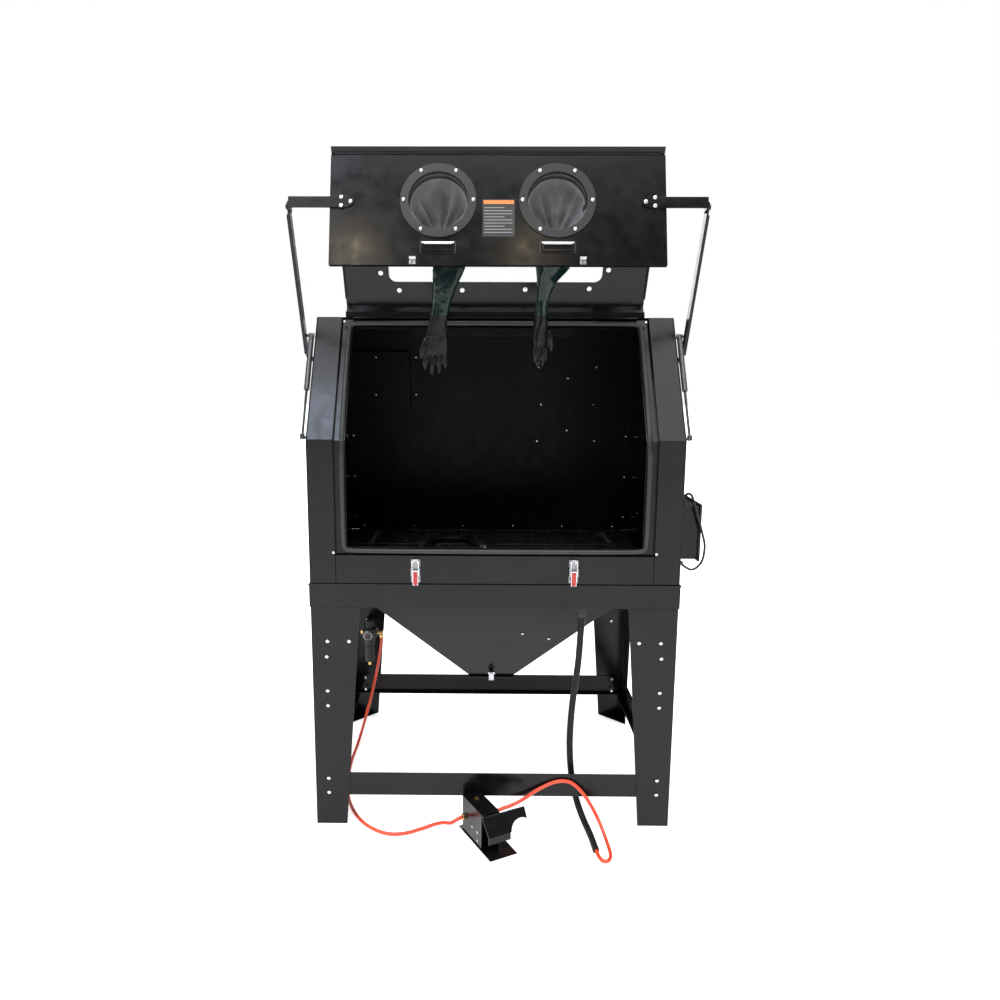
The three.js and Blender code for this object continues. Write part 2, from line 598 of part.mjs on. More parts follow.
// ---------------------------------------------------------------- lift arms and gas struts
function buildLinkage() {
  const armVector = new THREE.Vector2(1, 0).rotateAround(new THREE.Vector2(),
    THREE.MathUtils.degToRad(ARM_OPEN_ANGLE));
  const head = { y: ARM_PIVOT.y + armVector.x * STRUT_ON_ARM, z: ARM_PIVOT.z + armVector.y * STRUT_ON_ARM };
  const strutAngle = THREE.MathUtils.radToDeg(Math.atan2(head.z - STRUT_FOOT.z, head.y - STRUT_FOOT.y));
  const strutLength = Math.hypot(head.z - STRUT_FOOT.z, head.y - STRUT_FOOT.y);
  const shellX = WIDTH / 2 + GAP;
  for (const [side, sign] of SIDES) {
    const arm = group(model, 0, ARM_PIVOT.y, ARM_PIVOT.z, ARM_OPEN_ANGLE);
    const [a0, a1] = sided(sign, ARM_X - 3, ARM_X + 3);
    const [s0, s1] = sided(sign, STRUT_X + 9.6, ARM_X);
    const [h0, h1] = sided(sign, shellX, ARM_X + 3);
    const [b0, b1] = sided(sign, ARM_X - 3, ARM_X + 9);
    part(`lift_arm_${side}`, join(
      box(a0, a1, -22, ARM_LENGTH + 16, -15, 15),
      cylinder(9, h1 - h0, 'x', (h0 + h1) / 2, 0, 0, 12),
      cylinder(5, s1 - s0, 'x', (s0 + s1) / 2, STRUT_ON_ARM, 0, 10),
      cylinder(8, b1 - b0, 'x', (b0 + b1) / 2, ARM_LENGTH, 0, 12),
    ), BLACK_COAT, arm);

    const strut = group(model, sign * STRUT_X, STRUT_FOOT.y, STRUT_FOOT.z, strutAngle);
    const footX = sided(sign, shellX - sign * sign * STRUT_X, 0);
    part(`strut_rod_${side}`, join(
      cylinder(4, STRUT_ROD, 'y', 0, STRUT_ROD / 2, 0, 10),
      cylinder(8, 14, 'y', 0, 4, 0, 10),
      cylinder(4.5, Math.abs(footX[1] - footX[0]), 'x', (footX[0] + footX[1]) / 2, 0, 0, 10),
    ), CHROME, strut);
    const boreRadius = 4.6;
    const boreEnd = STRUT_ROD + STRUT_STROKE + 10;
    part(`strut_cylinder_${side}`, cut(
      join(cylinder(9, strutLength - 172, 'y', 0, 172 + (strutLength - 172) / 2, 0, 14),
        cylinder(9, 18, 'x', 0, strutLength, 0, 14)),
      cylinder(boreRadius, boreEnd - 160, 'y', 0, (160 + boreEnd) / 2, 0, 12),
    ), DARK_STEEL, strut);
  }
}

// ---------------------------------------------------------------- services
const CONTROL = { deep: 92, y0: 120, y1: 330, z0: 908, z1: 1090 };
const LIGHT_LEAD = [
  [639, 150, 1090.4], [639, 149, 1104], [641, 145, 1118], [648, 135, 1129], [656, 122, 1127],
  [662, 110, 1108], [670, 102, 1076], [681, 99, 1041], [695, 98, 993], [702, 96, 957],
  [696, 92, 914], [680, 89, 890], [659, 85, 881], [638, 80, 890], [619, 76, 904],
  [600.9, 76, 906],
];
function buildServices() {
  const wallX = WIDTH / 2 + GAP;
  const c = CONTROL;
  part('control_box', join(
    box(wallX, wallX + c.deep - 8, c.y0, c.y1, c.z0, c.z1),
    box(wallX + c.deep - 9, wallX + c.deep, c.y0 - 8, c.y1 + 8, c.z0 - 6, c.z1 + 6),
  ), BLACK_COAT);
  const rocker = group(model, wallX + c.deep + GAP, 190, 1010);
  part('power_switch', join(
    cylinder(3, 22, 'z', 4, 0, 0, 8), box(2.6, 7, -9, 9, -15, 15)), PLASTIC, rocker);
  part('light_lead', tube(LIGHT_LEAD, 8, 34), PLASTIC);

  part('filter_regulator', join(
    box(-538, -478, 716, 766, 412, 446),
    cylinder(22, 46, 'z', -512, 741, 395, 16),
    cylinder(20, 80, 'z', -512, 741, 337.5, 16),
    cylinder(6, 14, 'z', -512, 741, 291, 8),
    box(-540, -530, 760, 880.5, 408, 450),
    cylinder(9, 28, 'x', -466, 741, 429, 10),
  ), DARK_STEEL);
  part('pressure_gauge', join(
    cylinder(20, 17, 'y', -512, 702, 429, 20), cylinder(6, 6, 'y', -512, 712.5, 429, 8)), DARK_STEEL);
  part('regulator_knob', cylinder(17, 34, 'z', -512, 741, 463.5, 14), PLASTIC);
}

// ---------------------------------------------------------------- hoses on the floor
const AIR_HOSE = 12;
const SUPPLY_HOSE = [
  [-461, 741, 419.6], [-461, 741, 400], [-464, 740, 366], [-471, 738, 318], [-480, 734, 264],
  [-493, 722, 202], [-508, 700, 138], [-524, 664, 76], [-536, 616, 32], [-543, 560, 10],
  [-546, 500, 6.5], [-547, 420, 6.5], [-542, 320, 6.5], [-531, 223, 6.5], [-509, 130, 6.5],
  [-470, 40, 6.5], [-418, -28, 6.5], [-352, -68, 6.5], [-290, -64, 6.5], [-236, -38, 8],
  [-198, -28, 16], [-168, -38, 29], [-140, -60, 42], [-122, -60, 53], [-103, -50.2, 58],
];
const PEDAL_HOSE = [
  [0.6, -52.4, 78], [18, -43.3, 79], [36, -34, 82], [64, -26, 88], [104, -18, 106], [150, -9, 134],
  [196, -5, 157], [236, -4, 166], [270, -6, 158], [302, -16, 131], [328, -32, 98], [350, -54, 62],
  [364, -82, 34], [372, -114, 17], [376, -150, 9], [374, -184, 6.8], [362, -206, 6.5],
  [346, -206, 7.2], [337, -190, 9], [333.5, -174, 11], [332, -160.6, 12],
];
const SLEEVE_HOSE = [
  [288, 22, 734.6], [288, 22, 714], [286, 24, 650], [283, 30, 578], [277, 38, 504], [270, 46, 431],
  [266, 54, 354], [265, 58, 279], [268, 60, 214], [274, 59, 158], [283, 54, 106], [293, 44, 66],
  [304, 24, 36], [314, -6, 18], [321, -42, 12.4], [326, -84, 11.4], [329, -124, 11.4],
  [331.4, -159.4, 11.7],
];
function buildHoses() {
  part('media_hose', tube(MEDIA_HOSE, 24, 40), RUBBER);
  part('supply_hose', tube(SUPPLY_HOSE, AIR_HOSE, 56), ORANGE_HOSE);
  part('pedal_hose', tube(PEDAL_HOSE, AIR_HOSE, 44), ORANGE_HOSE);
  part('sleeve_hose', tube(SLEEVE_HOSE, 22, 36), RUBBER);
  part('hose_gland', join(
    cylinder(15, 34, 'z', 288, 22, 752, 14), cylinder(19, 10, 'z', 288, 22, 764, 6)), PLASTIC);
}

// ---------------------------------------------------------------- foot pedal
const PEDAL = { left: -46, right: 18, front: -44, back: 90, top: 125 };
function buildPedal() {
  const pedal = group(model, -18, -87, 0, 0, 27.7);
  const p = PEDAL;
  part('pedal_base', join(
    box(-50, 50, -112, 112, 0, 3),
    box(p.left, p.left + SHEET, p.front, p.back, 0, p.top),
    box(p.right - SHEET, p.right, p.front, p.back, 0, p.top),
    box(p.left, p.right, p.front, p.back, p.top - SHEET, p.top),
    box(p.left + 8, p.right - 8, 4, 84, 1, 96),
    cylinder(9, 20, 'x', p.left, 72, 58, 10),
    cylinder(9, 24, 'x', p.right, 22, 78, 10),
  ), BLACK_COAT, pedal);
  const treadle = group(pedal, 0, p.front - 7, p.top - 6);
  const foot = new THREE.Shape();
  foot.moveTo(-48, 0);
  foot.lineTo(108, 0);
  foot.lineTo(108, -38);
  foot.absarc(84, -74, 43, 1.0, Math.PI - 0.2);
  foot.lineTo(38, -66);
  foot.lineTo(-42, -66);
  const plate = new THREE.ExtrudeGeometry(foot, { depth: 3, bevelEnabled: false, curveSegments: 6 })
    .rotateX(THREE.MathUtils.degToRad(58));
  part('pedal_treadle', join(
    plate,
    cylinder(4, 60, 'x', -14, 0, 0, 10),
    box(-42, 38, -37.5, -34, -78, -54),
  ), BLACK_COAT, treadle);
}

buildShell();
buildPillars();
buildFront();
buildSeal();
buildBase();
buildHopper();
buildGrate();
buildLegs();
buildBraces();
buildInterior();
buildLatches();
buildWindowPanel();
buildGlovePanel();
buildGloves();
buildLinkage();
buildServices();
buildHoses();
buildPedal();

// ---------------------------------------------------------------- origin
// Plan centre of everything but the free hoses, at floor level.
const FREE_HOSES = ['supply_hose', 'pedal_hose', 'sleeve_hose', 'hose_gland'];
model.updateMatrixWorld(true);
const extent = new THREE.Box3();
for (const node of model.children.filter((child) => !FREE_HOSES.includes(child.name))) {
  extent.expandByObject(node, true);
}
const middle = extent.getCenter(new THREE.Vector3());
model.position.set(-middle.x, -middle.y, -extent.min.z);
model.updateMatrixWorld(true);

export default model;
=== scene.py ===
"""Abrasive blast cabinet with a folding lid: detailed pieces, finishes, stage and camera."""
import json
import logging
import math
from dataclasses import dataclass
from enum import Enum
from typing import Callable, Iterable, Sequence

import bpy
from mathutils import Matrix, Vector

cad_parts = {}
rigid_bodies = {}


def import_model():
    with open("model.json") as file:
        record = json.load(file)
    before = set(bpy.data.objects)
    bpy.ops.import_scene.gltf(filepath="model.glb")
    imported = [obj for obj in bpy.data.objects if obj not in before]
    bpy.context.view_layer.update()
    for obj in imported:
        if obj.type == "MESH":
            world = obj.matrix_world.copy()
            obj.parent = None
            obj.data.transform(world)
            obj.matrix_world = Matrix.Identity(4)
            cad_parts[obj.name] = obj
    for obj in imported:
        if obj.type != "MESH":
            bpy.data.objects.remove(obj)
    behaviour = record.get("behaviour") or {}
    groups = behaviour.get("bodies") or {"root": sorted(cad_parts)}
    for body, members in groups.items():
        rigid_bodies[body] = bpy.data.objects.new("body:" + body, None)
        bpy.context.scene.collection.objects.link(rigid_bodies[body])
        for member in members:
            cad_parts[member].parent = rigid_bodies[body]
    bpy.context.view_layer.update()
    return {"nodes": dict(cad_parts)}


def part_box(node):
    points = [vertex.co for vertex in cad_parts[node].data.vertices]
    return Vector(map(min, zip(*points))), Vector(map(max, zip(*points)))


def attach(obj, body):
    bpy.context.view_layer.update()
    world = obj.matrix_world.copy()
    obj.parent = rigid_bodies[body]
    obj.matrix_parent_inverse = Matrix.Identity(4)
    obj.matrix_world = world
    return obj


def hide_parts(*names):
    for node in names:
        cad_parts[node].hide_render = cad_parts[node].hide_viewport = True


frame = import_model()
log = logging.getLogger("blast_cabinet")

Point = Sequence[float]
Colour = tuple[float, float, float]


# ---------------------------------------------------------------- places
class Side(Enum):
    """The two sides of the cabinet, seen from the front."""

    LEFT = -1
    RIGHT = 1

    @property
    def word(self) -> str:
        """The side's name in lower case."""
        return self.name.lower()


class Axis(Enum):
    """A direction that a round piece points in."""

    X = (1, 0, 0)
    Y = (0, 1, 0)
    Z = (0, 0, 1)


PILLAR_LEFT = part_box("pillar_left")
PILLAR_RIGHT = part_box("pillar_right")
MIDDLE_X = (PILLAR_LEFT[0].x + PILLAR_RIGHT[1].x) / 2
FRONT_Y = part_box("leg_front_left")[0].y


def at(x: float, y: float, z: float) -> Vector:
    """Turn a place on the cabinet into the frame.

    Args:
        x: millimetres right of the middle.
        y: millimetres behind the front face.
        z: millimetres above the floor.

    Returns:
        The point in metres.
    """
    return Vector((MIDDLE_X + x / 1000, FRONT_Y + y / 1000, z / 1000))


def panel_matrix(y: float, z: float, degrees: float) -> Matrix:
    """Axes of a flat panel: X across, Y up the panel, Z out of its face.

    Args:
        y: the origin's place behind the front face, in millimetres.
        z: the origin's height in millimetres.
        degrees: how far the panel's up axis is turned from +Y about +X.

    Returns:
        The panel's matrix in the frame.
    """
    return Matrix.Translation(at(0, y, z)) @ Matrix.Rotation(math.radians(degrees), 4, "X")


FOLD_Y, FOLD_Z = 54.269, 2181.344
SLOPE = math.degrees(math.atan2(1710 - 1318, 243))
GLOVE_FACE = panel_matrix(FOLD_Y, FOLD_Z, 75)
WINDOW_FACE = panel_matrix(FOLD_Y, FOLD_Z, SLOPE - 120)
LID_SKIN = 4.5 / 1000


# ---------------------------------------------------------------- finishes
class Grain(Enum):
    """Fine surface texture of a finish."""

    PEEL = "orange peel of a baked coating"
    BRUSHED = "fine lines along one way"
    WEAVE = "crossed threads"
    PEBBLE = "small soft bumps"
    SMOOTH = "no visible grain"


@dataclass(frozen=True)
class Finish:
    """One finish: its colours, gloss and grain."""

    name: str
    colour: Colour
    tint: Colour
    roughness: float
    spread: float = 0.05
    metallic: float = 0.0
    specular: float = 0.5
    coat: float = 0.0
    sheen: float = 0.0
    grain: Grain = Grain.PEEL
    scale: float = 300.0
    depth: float = 0.0002
    patch: float = 5.0
    wave: float = 0.0
    alpha: float = 1.0
    glow: float = 0.0

    def make(self) -> bpy.types.Material:
        """Build the finish's material, or return it if it is already built.

        Returns:
            The material.
        """
        found = bpy.data.materials.get(self.name)
        if found:
            return found
        material = bpy.data.materials.new(self.name)
        material.use_nodes = True
        tree = material.node_tree
        shader = tree.nodes["Principled BSDF"]
        shader.inputs["Metallic"].default_value = self.metallic
        shader.inputs["Specular IOR Level"].default_value = self.specular
        shader.inputs["Coat Weight"].default_value = self.coat
        shader.inputs["Coat Roughness"].default_value = 0.08
        shader.inputs["Sheen Weight"].default_value = self.sheen
        shader.inputs["Alpha"].default_value = self.alpha
        shader.inputs["Emission Color"].default_value = (1, 1, 1, 1)
        shader.inputs["Emission Strength"].default_value = self.glow
        coords = tree.nodes.new("ShaderNodeTexCoord").outputs["Object"]
        self._colour(tree, shader, coords)
        self._relief(tree, shader, coords)
        return material

    def _noise(self, tree: bpy.types.NodeTree, coords: bpy.types.NodeSocket, scale: float,
               detail: float) -> bpy.types.NodeSocket:
        """Add a noise texture on object coordinates.

        Args:
            tree: the finish's node tree.
            coords: the coordinates that the noise follows.
            scale: how fine the noise is.
            detail: how many finer layers it has.

        Returns:
            The socket with the noise's value.
        """
        noise = tree.nodes.new("ShaderNodeTexNoise")
        noise.inputs["Scale"].default_value = scale
        noise.inputs["Detail"].default_value = detail
        tree.links.new(coords, noise.inputs["Vector"])
        return noise.outputs["Fac"]

    def _colour(self, tree: bpy.types.NodeTree, shader: bpy.types.Node,
                coords: bpy.types.NodeSocket) -> None:
        """Let the colour and the roughness drift over the surface.

        Args:
            tree: the finish's node tree.
            shader: the shader that takes both.
            coords: the coordinates that the drift follows.
        """
        ramp = tree.nodes.new("ShaderNodeValToRGB")
        ramp.color_ramp.elements[0].position = 0.38
        ramp.color_ramp.elements[0].color = (*self.colour, 1)
        ramp.color_ramp.elements[1].position = 0.72
        ramp.color_ramp.elements[1].color = (*self.tint, 1)
        tree.links.new(self._noise(tree, coords, self.patch, 6), ramp.inputs["Fac"])
        tree.links.new(ramp.outputs["Color"], shader.inputs["Base Color"])
        span = tree.nodes.new("ShaderNodeMapRange")
        span.inputs["From Min"].default_value = 0.3
        span.inputs["From Max"].default_value = 0.7
        span.inputs["To Min"].default_value = max(0.02, self.roughness - self.spread)
        span.inputs["To Max"].default_value = self.roughness + self.spread
        tree.links.new(self._noise(tree, coords, self.patch * 5, 4), span.inputs["Value"])
        tree.links.new(span.outputs["Result"], shader.inputs["Roughness"])

    def _relief(self, tree: bpy.types.NodeTree, shader: bpy.types.Node,
                coords: bpy.types.NodeSocket) -> None:
        """Add the grain, and for sheet metal its slow waves, as bump.

        Args:
            tree: the finish's node tree.
            shader: the shader that takes the normal.
            coords: the coordinates that the relief follows.
        """
        normal = None
        if self.wave:
            normal = self._bump(tree, self._noise(tree, coords, 2.6, 1.0), self.wave, normal)
        if self.grain is not Grain.SMOOTH:
            normal = self._bump(tree, self._grain(tree, coords), self.depth, normal)
        if normal:
            tree.links.new(normal, shader.inputs["Normal"])

    def _grain(self, tree: bpy.types.NodeTree,
               coords: bpy.types.NodeSocket) -> bpy.types.NodeSocket:
        """Make the height of the grain.

        Args:
            tree: the finish's node tree.
            coords: the coordinates that the grain follows.

        Returns:
            The socket with the height.
        """
        if self.grain is Grain.WEAVE:
            heights = []
            for way in ("X", "Z"):
                wave = tree.nodes.new("ShaderNodeTexWave")
                wave.bands_direction = way
                wave.inputs["Scale"].default_value = self.scale
                wave.inputs["Distortion"].default_value = 0.6
                tree.links.new(coords, wave.inputs["Vector"])
                heights.append(wave.outputs["Fac"])
            cross = tree.nodes.new("ShaderNodeMath")
            cross.operation = "MULTIPLY"
            tree.links.new(heights[0], cross.inputs[0])
            tree.links.new(heights[1], cross.inputs[1])
            return cross.outputs["Value"]
        if self.grain is Grain.BRUSHED:
            stretch = tree.nodes.new("ShaderNodeMapping")
            stretch.inputs["Scale"].default_value = (12, 12, 0.4)
            tree.links.new(coords, stretch.inputs["Vector"])
            return self._noise(tree, stretch.outputs["Vector"], self.scale / 6, 3)
        return self._noise(tree, coords, self.scale, 2.5 if self.grain is Grain.PEEL else 5)

    @staticmethod
    def _bump(tree: bpy.types.NodeTree, height: bpy.types.NodeSocket, depth: float,
              below: bpy.types.NodeSocket | None) -> bpy.types.NodeSocket:
        """Turn a height into a normal on top of the one below it.

        Args:
            tree: the finish's node tree.
            height: the socket with the height.
            depth: the height's full depth in metres.
            below: the normal underneath, if there is one.

        Returns:
            The socket with the new normal.
        """
        bump = tree.nodes.new("ShaderNodeBump")
        bump.inputs["Strength"].default_value = 1.0
        bump.inputs["Distance"].default_value = depth
        tree.links.new(height, bump.inputs["Height"])
        if below:
            tree.links.new(below, bump.inputs["Normal"])
        return bump.outputs["Normal"]


GLOSS_COAT = Finish("gloss_black_coat", (0.003, 0.003, 0.0035), (0.006, 0.006, 0.007), 0.2,
                    spread=0.05, specular=0.22, wave=0.0009, depth=0.00002, scale=420)
# Duller, darker black than the gloss coat: the darker colour is painted shade on sheets inside the cabinet
# and in the handle recess.
SHADED_INNER_COAT = Finish("dusty_black_coat", (0.0025, 0.0025, 0.003), (0.006, 0.006, 0.007), 0.4,
                    spread=0.08, specular=0.10, wave=0.001, depth=0.00003)
DARK_STEEL = Finish("dark_zinc_steel", (0.03, 0.03, 0.033), (0.055, 0.055, 0.058), 0.42,
                    metallic=0.7, patch=18)
CHROME = Finish("polished_chrome", (0.72, 0.73, 0.75), (0.6, 0.61, 0.63), 0.14,
                metallic=1.0, patch=30, depth=0.00002)
ZINC = Finish("bright_zinc", (0.66, 0.67, 0.68), (0.5, 0.51, 0.52), 0.25,
              metallic=1.0, patch=90, depth=0.00002)
BRASS = Finish("brass", (0.72, 0.5, 0.2), (0.6, 0.4, 0.15), 0.26, metallic=1.0, patch=60,
               depth=0.00002)
ROD_STEEL = Finish("ground_rod_steel", (0.26, 0.265, 0.27), (0.2, 0.205, 0.21), 0.28,
                   metallic=1.0, patch=60, depth=0.00002)
SEAL_RUBBER = Finish("seal_rubber", (0.012, 0.012, 0.013), (0.02, 0.02, 0.021), 0.5,
                     grain=Grain.PEBBLE, scale=500, depth=0.0001)
RING_PLASTIC = Finish("moulded_ring_plastic", (0.010, 0.010, 0.011), (0.017, 0.017, 0.018), 0.42,
                      specular=0.4, grain=Grain.PEBBLE, scale=900, depth=0.00008)
SLEEVE_GREEN = Finish("glove_sleeve_coating", (0.002, 0.009, 0.008), (0.003, 0.012, 0.010), 0.22,
                      spread=0.03, specular=0.22, coat=0.1, scale=90, depth=0.0001, patch=9)
HAND_RUBBER = Finish("glove_hand_rubber", (0.002, 0.0025, 0.003), (0.004, 0.005, 0.006), 0.3,
                     specular=0.2, grain=Grain.PEBBLE, scale=380, depth=0.0003, patch=30)
CUFF_MESH = Finish("cuff_mesh_fabric", (0.07, 0.07, 0.074), (0.19, 0.19, 0.2), 0.72,
                   sheen=0.5, grain=Grain.WEAVE, scale=130, depth=0.0006, patch=16)
ORANGE = Finish("orange_air_hose", (0.60, 0.045, 0.012), (0.66, 0.07, 0.02), 0.34,
                coat=0.1, patch=24, depth=0.00003)
BLACK_HOSE = Finish("black_rubber_hose", (0.004, 0.004, 0.005), (0.008, 0.008, 0.009), 0.5,
                    specular=0.2, grain=Grain.WEAVE, scale=70, depth=0.0004, patch=20)
BLACK_PLASTIC = Finish("black_plastic", (0.01, 0.01, 0.011), (0.018, 0.018, 0.02), 0.38,
                       grain=Grain.PEBBLE, scale=800, depth=0.00006)
RED_GRIP = Finish("red_dipped_grip", (0.34, 0.008, 0.006), (0.42, 0.016, 0.010), 0.28, coat=0.1,
                  patch=40, depth=0.00003)
GREY_TUBE = Finish("grey_painted_tube", (0.05, 0.05, 0.055), (0.075, 0.075, 0.08), 0.3,
                   patch=30, metallic=0.3, grain=Grain.BRUSHED, depth=0.00003)
GLASS = Finish("window_pane", (0.86, 0.90, 0.92), (0.8, 0.84, 0.86), 0.12, spread=0.05,
               alpha=0.14, patch=12, depth=0.00002)
LABEL_DARK = Finish("label_dark", (0.012, 0.012, 0.013), (0.018, 0.018, 0.019), 0.4)
LABEL_ORANGE = Finish("label_orange", (0.78, 0.2, 0.04), (0.72, 0.17, 0.035), 0.45)
LABEL_GREY = Finish("label_grey", (0.34, 0.34, 0.35), (0.3, 0.3, 0.31), 0.5)
DIAL_WHITE = Finish("dial_white", (0.8, 0.8, 0.78), (0.74, 0.74, 0.72), 0.5)
# Near-black for the whole work light: the black housing is its own colour, and the diffuser is painted dark
# as painted shade under the roof.
SHADED_LAMP_COVER = Finish("unlit_lamp_cover", (0.006, 0.006, 0.007), (0.008, 0.008, 0.009), 0.6,
                    specular=0.08)
FLOOR_PALE = Finish("pale_floor", (0.95, 0.95, 0.95), (0.94, 0.94, 0.94), 0.8, specular=0.0,
                    grain=Grain.SMOOTH, patch=0.6, glow=0.6)


# ---------------------------------------------------------------- bench tools
def clear_bench() -> None:
    """Leave edit mode and deselect everything."""
    if bpy.context.object and bpy.context.object.mode != "OBJECT":
        bpy.ops.object.mode_set(mode="OBJECT")
    bpy.ops.object.select_all(action="DESELECT")


def pick(piece: bpy.types.Object) -> None:
    """Select one piece alone and make it active."""
    clear_bench()
    piece.select_set(True)
    bpy.context.view_layer.objects.active = piece


def settle(name: str, finish: Finish | None = None, smooth: float = 30) -> bpy.types.Object:
    """Name the active piece, apply its place and dress it.

    Args:
        name: the piece's name.
        finish: its finish, if it has one of its own.
        smooth: the angle in degrees under which edges are shaded smooth.

    Returns:
        The finished piece.
    """
    piece = bpy.context.object
    pick(piece)
    piece.name = name
    bpy.ops.object.transform_apply(location=True, rotation=True, scale=True)
    bpy.ops.object.shade_smooth_by_angle(angle=math.radians(smooth))
    if finish:
        piece.data.materials.clear()
        piece.data.materials.append(finish.make())
    return piece


def soften(piece: bpy.types.Object, width: float, segments: int = 2, angle: float = 30) -> None:
    """Round the sharp edges of a piece with an applied bevel.

    Args:
        piece: the piece.
        width: the bevel's width in metres.
        segments: how many steps it has.
        angle: edges sharper than this many degrees are rounded.
    """
    pick(piece)
    bevel = piece.modifiers.new("edge", "BEVEL")
    bevel.width = width
    bevel.segments = segments
    bevel.limit_method = "ANGLE"
    bevel.angle_limit = math.radians(angle)
    bpy.ops.object.modifier_apply(modifier="edge")


def flatten_shading(piece: bpy.types.Object) -> None:
    """Weight the normals by face area, so that wide sheets shade flat up to their rounded edges.

    Args:
        piece: the piece whose normals are weighted.
    """
    pick(piece)
    weigh = piece.modifiers.new("flat", "WEIGHTED_NORMAL")
    weigh.mode = "FACE_AREA"
    weigh.weight = 100
    weigh.keep_sharp = True
    bpy.ops.object.modifier_apply(modifier="flat")


def choose_faces(piece: bpy.types.Object, test: Callable[[Vector, Vector], bool]) -> None:
    """Enter edit mode with only the faces selected that pass a test.

    Args:
        piece: the piece to edit.
        test: takes a face's centre and normal in the piece's own space.
    """
    pick(piece)
    bpy.ops.object.mode_set(mode="EDIT")
    bpy.ops.mesh.select_mode(type="FACE")
    bpy.ops.mesh.select_all(action="DESELECT")
    bpy.ops.object.mode_set(mode="OBJECT")
    for face in piece.data.polygons:
        face.select = test(face.center, face.normal)
    bpy.ops.object.mode_set(mode="EDIT")


def block(name: str, low: Point, high: Point, finish: Finish, edge: float = 0.001,
          place: Matrix | None = None) -> bpy.types.Object:
    """Make a block with rounded edges between two corners.

    Args:
        name: the piece's name.
        low: its lowest corner in metres, in the place's axes.
        high: its highest corner.
        finish: its finish.
        edge: the width of its rounded edges.
        place: axes that the corners are given in; the frame's own when left out.

    Returns:
        The block.
    """
    low, high = Vector(low), Vector(high)
    clear_bench()
    bpy.ops.mesh.primitive_cube_add(size=1, location=(low + high) / 2, scale=high - low)
    piece = settle(name, finish)
    soften(piece, edge)
    bpy.ops.object.shade_smooth_by_angle(angle=math.radians(60))
    flatten_shading(piece)
    if place:
        piece.data.transform(place)
    return piece


def drum(name: str, radius: float, low: float, high: float, finish: Finish, centre: Point,
         axis: Axis = Axis.Z, sides: int = 32, edge: float = 0.0006,
         place: Matrix | None = None) -> bpy.types.Object:
    """Make a round bar or disc with rounded rims.

    Args:
        name: the piece's name.
        radius: its radius in metres.
        low: where it starts along its axis from the centre.
        high: where it ends.
        finish: its finish.
        centre: a point on its axis.
        axis: the way it points.
        sides: how many sides it has.
        edge: the width of its rounded rims.
        place: axes that all of this is given in; the frame's own when left out.

    Returns:
        The drum.
    """
    clear_bench()
    way = Vector(axis.value)
    middle = Vector(centre) + way * (low + high) / 2
    turn = Vector((0, 0, 1)).rotation_difference(way).to_euler()
    bpy.ops.mesh.primitive_cylinder_add(vertices=sides, radius=radius, depth=high - low,
                                        location=middle, rotation=turn)
    piece = settle(name, finish, 40)
    soften(piece, min(edge, (high - low) / 3, radius / 3), angle=50)
    if place:
        piece.data.transform(place)
    return piece


def merge(name: str, pieces: Iterable[bpy.types.Object]) -> bpy.types.Object:
    """Join several objects into one, each keeping its own finish.

    Args:
        name: the joined object's name.
        pieces: the objects to join, the first of which takes in the others.

    Returns:
        The joined object.
    """
    pieces = list(pieces)
    clear_bench()
    for piece in pieces:
        piece.select_set(True)
    bpy.context.view_layer.objects.active = pieces[0]
    bpy.ops.object.join()
    pieces[0].name = name
    return pieces[0]


def copies(name: str, model: bpy.types.Object,
           places: Iterable[Matrix]) -> bpy.types.Object:
    """Copy a piece to several places and join the copies; the model itself is removed.

    Args:
        name: the joined object's name.
        model: the piece to copy.
        places: each copy's matrix.

    Returns:
        The joined copies.
    """
    made = []
    for place in places:
        twin = bpy.data.objects.new(name, model.data.copy())
        twin.data.transform(place)
        bpy.context.scene.collection.objects.link(twin)
        made.append(twin)
    bpy.data.objects.remove(model)
    return merge(name, made)


def lay_on(piece: bpy.types.Object, body: str, slot: str, *nodes: str) -> bpy.types.Object:
    """Attach a finished piece to its body and report it.

    Args:
        piece: the piece.
        body: the body it moves with.
        slot: the record's material slot; not used.
        nodes: the plain solids that it stands for.

    Returns:
        The piece.
    """
    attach(piece, body)
    if nodes:
        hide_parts(*nodes)
    log.info("%s rides on %s", piece.name, body)
    return piece


def dressed(node: str, body: str, finish: Finish, slot: str, edge: float = 0.0008,
            smooth: float = 30) -> bpy.types.Object:
    """Make a fine copy of a plain solid, with its edges rounded.

    Args:
        node: the solid's name.
        body: the body it belongs to.
        finish: its finish.
        slot: the record's material slot.
        edge: the width of the rounded edges.
        smooth: the angle under which edges are shaded smooth.

    Returns:
        The dressed piece.
    """
    source = bpy.data.objects[node]
    piece = bpy.data.objects.new(f"{node}_sheet", source.data.copy())
    bpy.context.scene.collection.objects.link(piece)
    piece.data.materials.clear()
    piece.data.materials.append(finish.make())
    pick(piece)
    bpy.ops.object.mode_set(mode="EDIT")
    bpy.ops.mesh.select_all(action="SELECT")
    bpy.ops.mesh.remove_doubles(threshold=0.00001)
    bpy.ops.mesh.dissolve_limited(angle_limit=math.radians(1.0))
    bpy.ops.object.mode_set(mode="OBJECT")
    if edge:
        soften(piece, edge, 2, 32)
    bpy.ops.object.shade_smooth_by_angle(angle=math.radians(smooth))
    if edge:
        flatten_shading(piece)
    return lay_on(piece, body, slot, node)


def smooth_route(points: Sequence[Point], steps: int = 6) -> list[Vector]:
    """Run a smooth line through some points.

    Args:
        points: the points it passes, in metres.
        steps: how many steps lie between two of them.

    Returns:
        The points of the line.
    """
    route = [Vector(p) for p in points]
    padded = [2 * route[0] - route[1], *route, 2 * route[-1] - route[-2]]
    line = []
    for a, b, c, d in zip(padded, padded[1:], padded[2:], padded[3:]):
        for i in range(steps):
            t = i / steps
            line.append(0.5 * (2 * b + (c - a) * t + (2 * a - 5 * b + 4 * c - d) * t * t
                               + (3 * b - a - 3 * c + d) * t ** 3))
    return [*line, route[-1]]


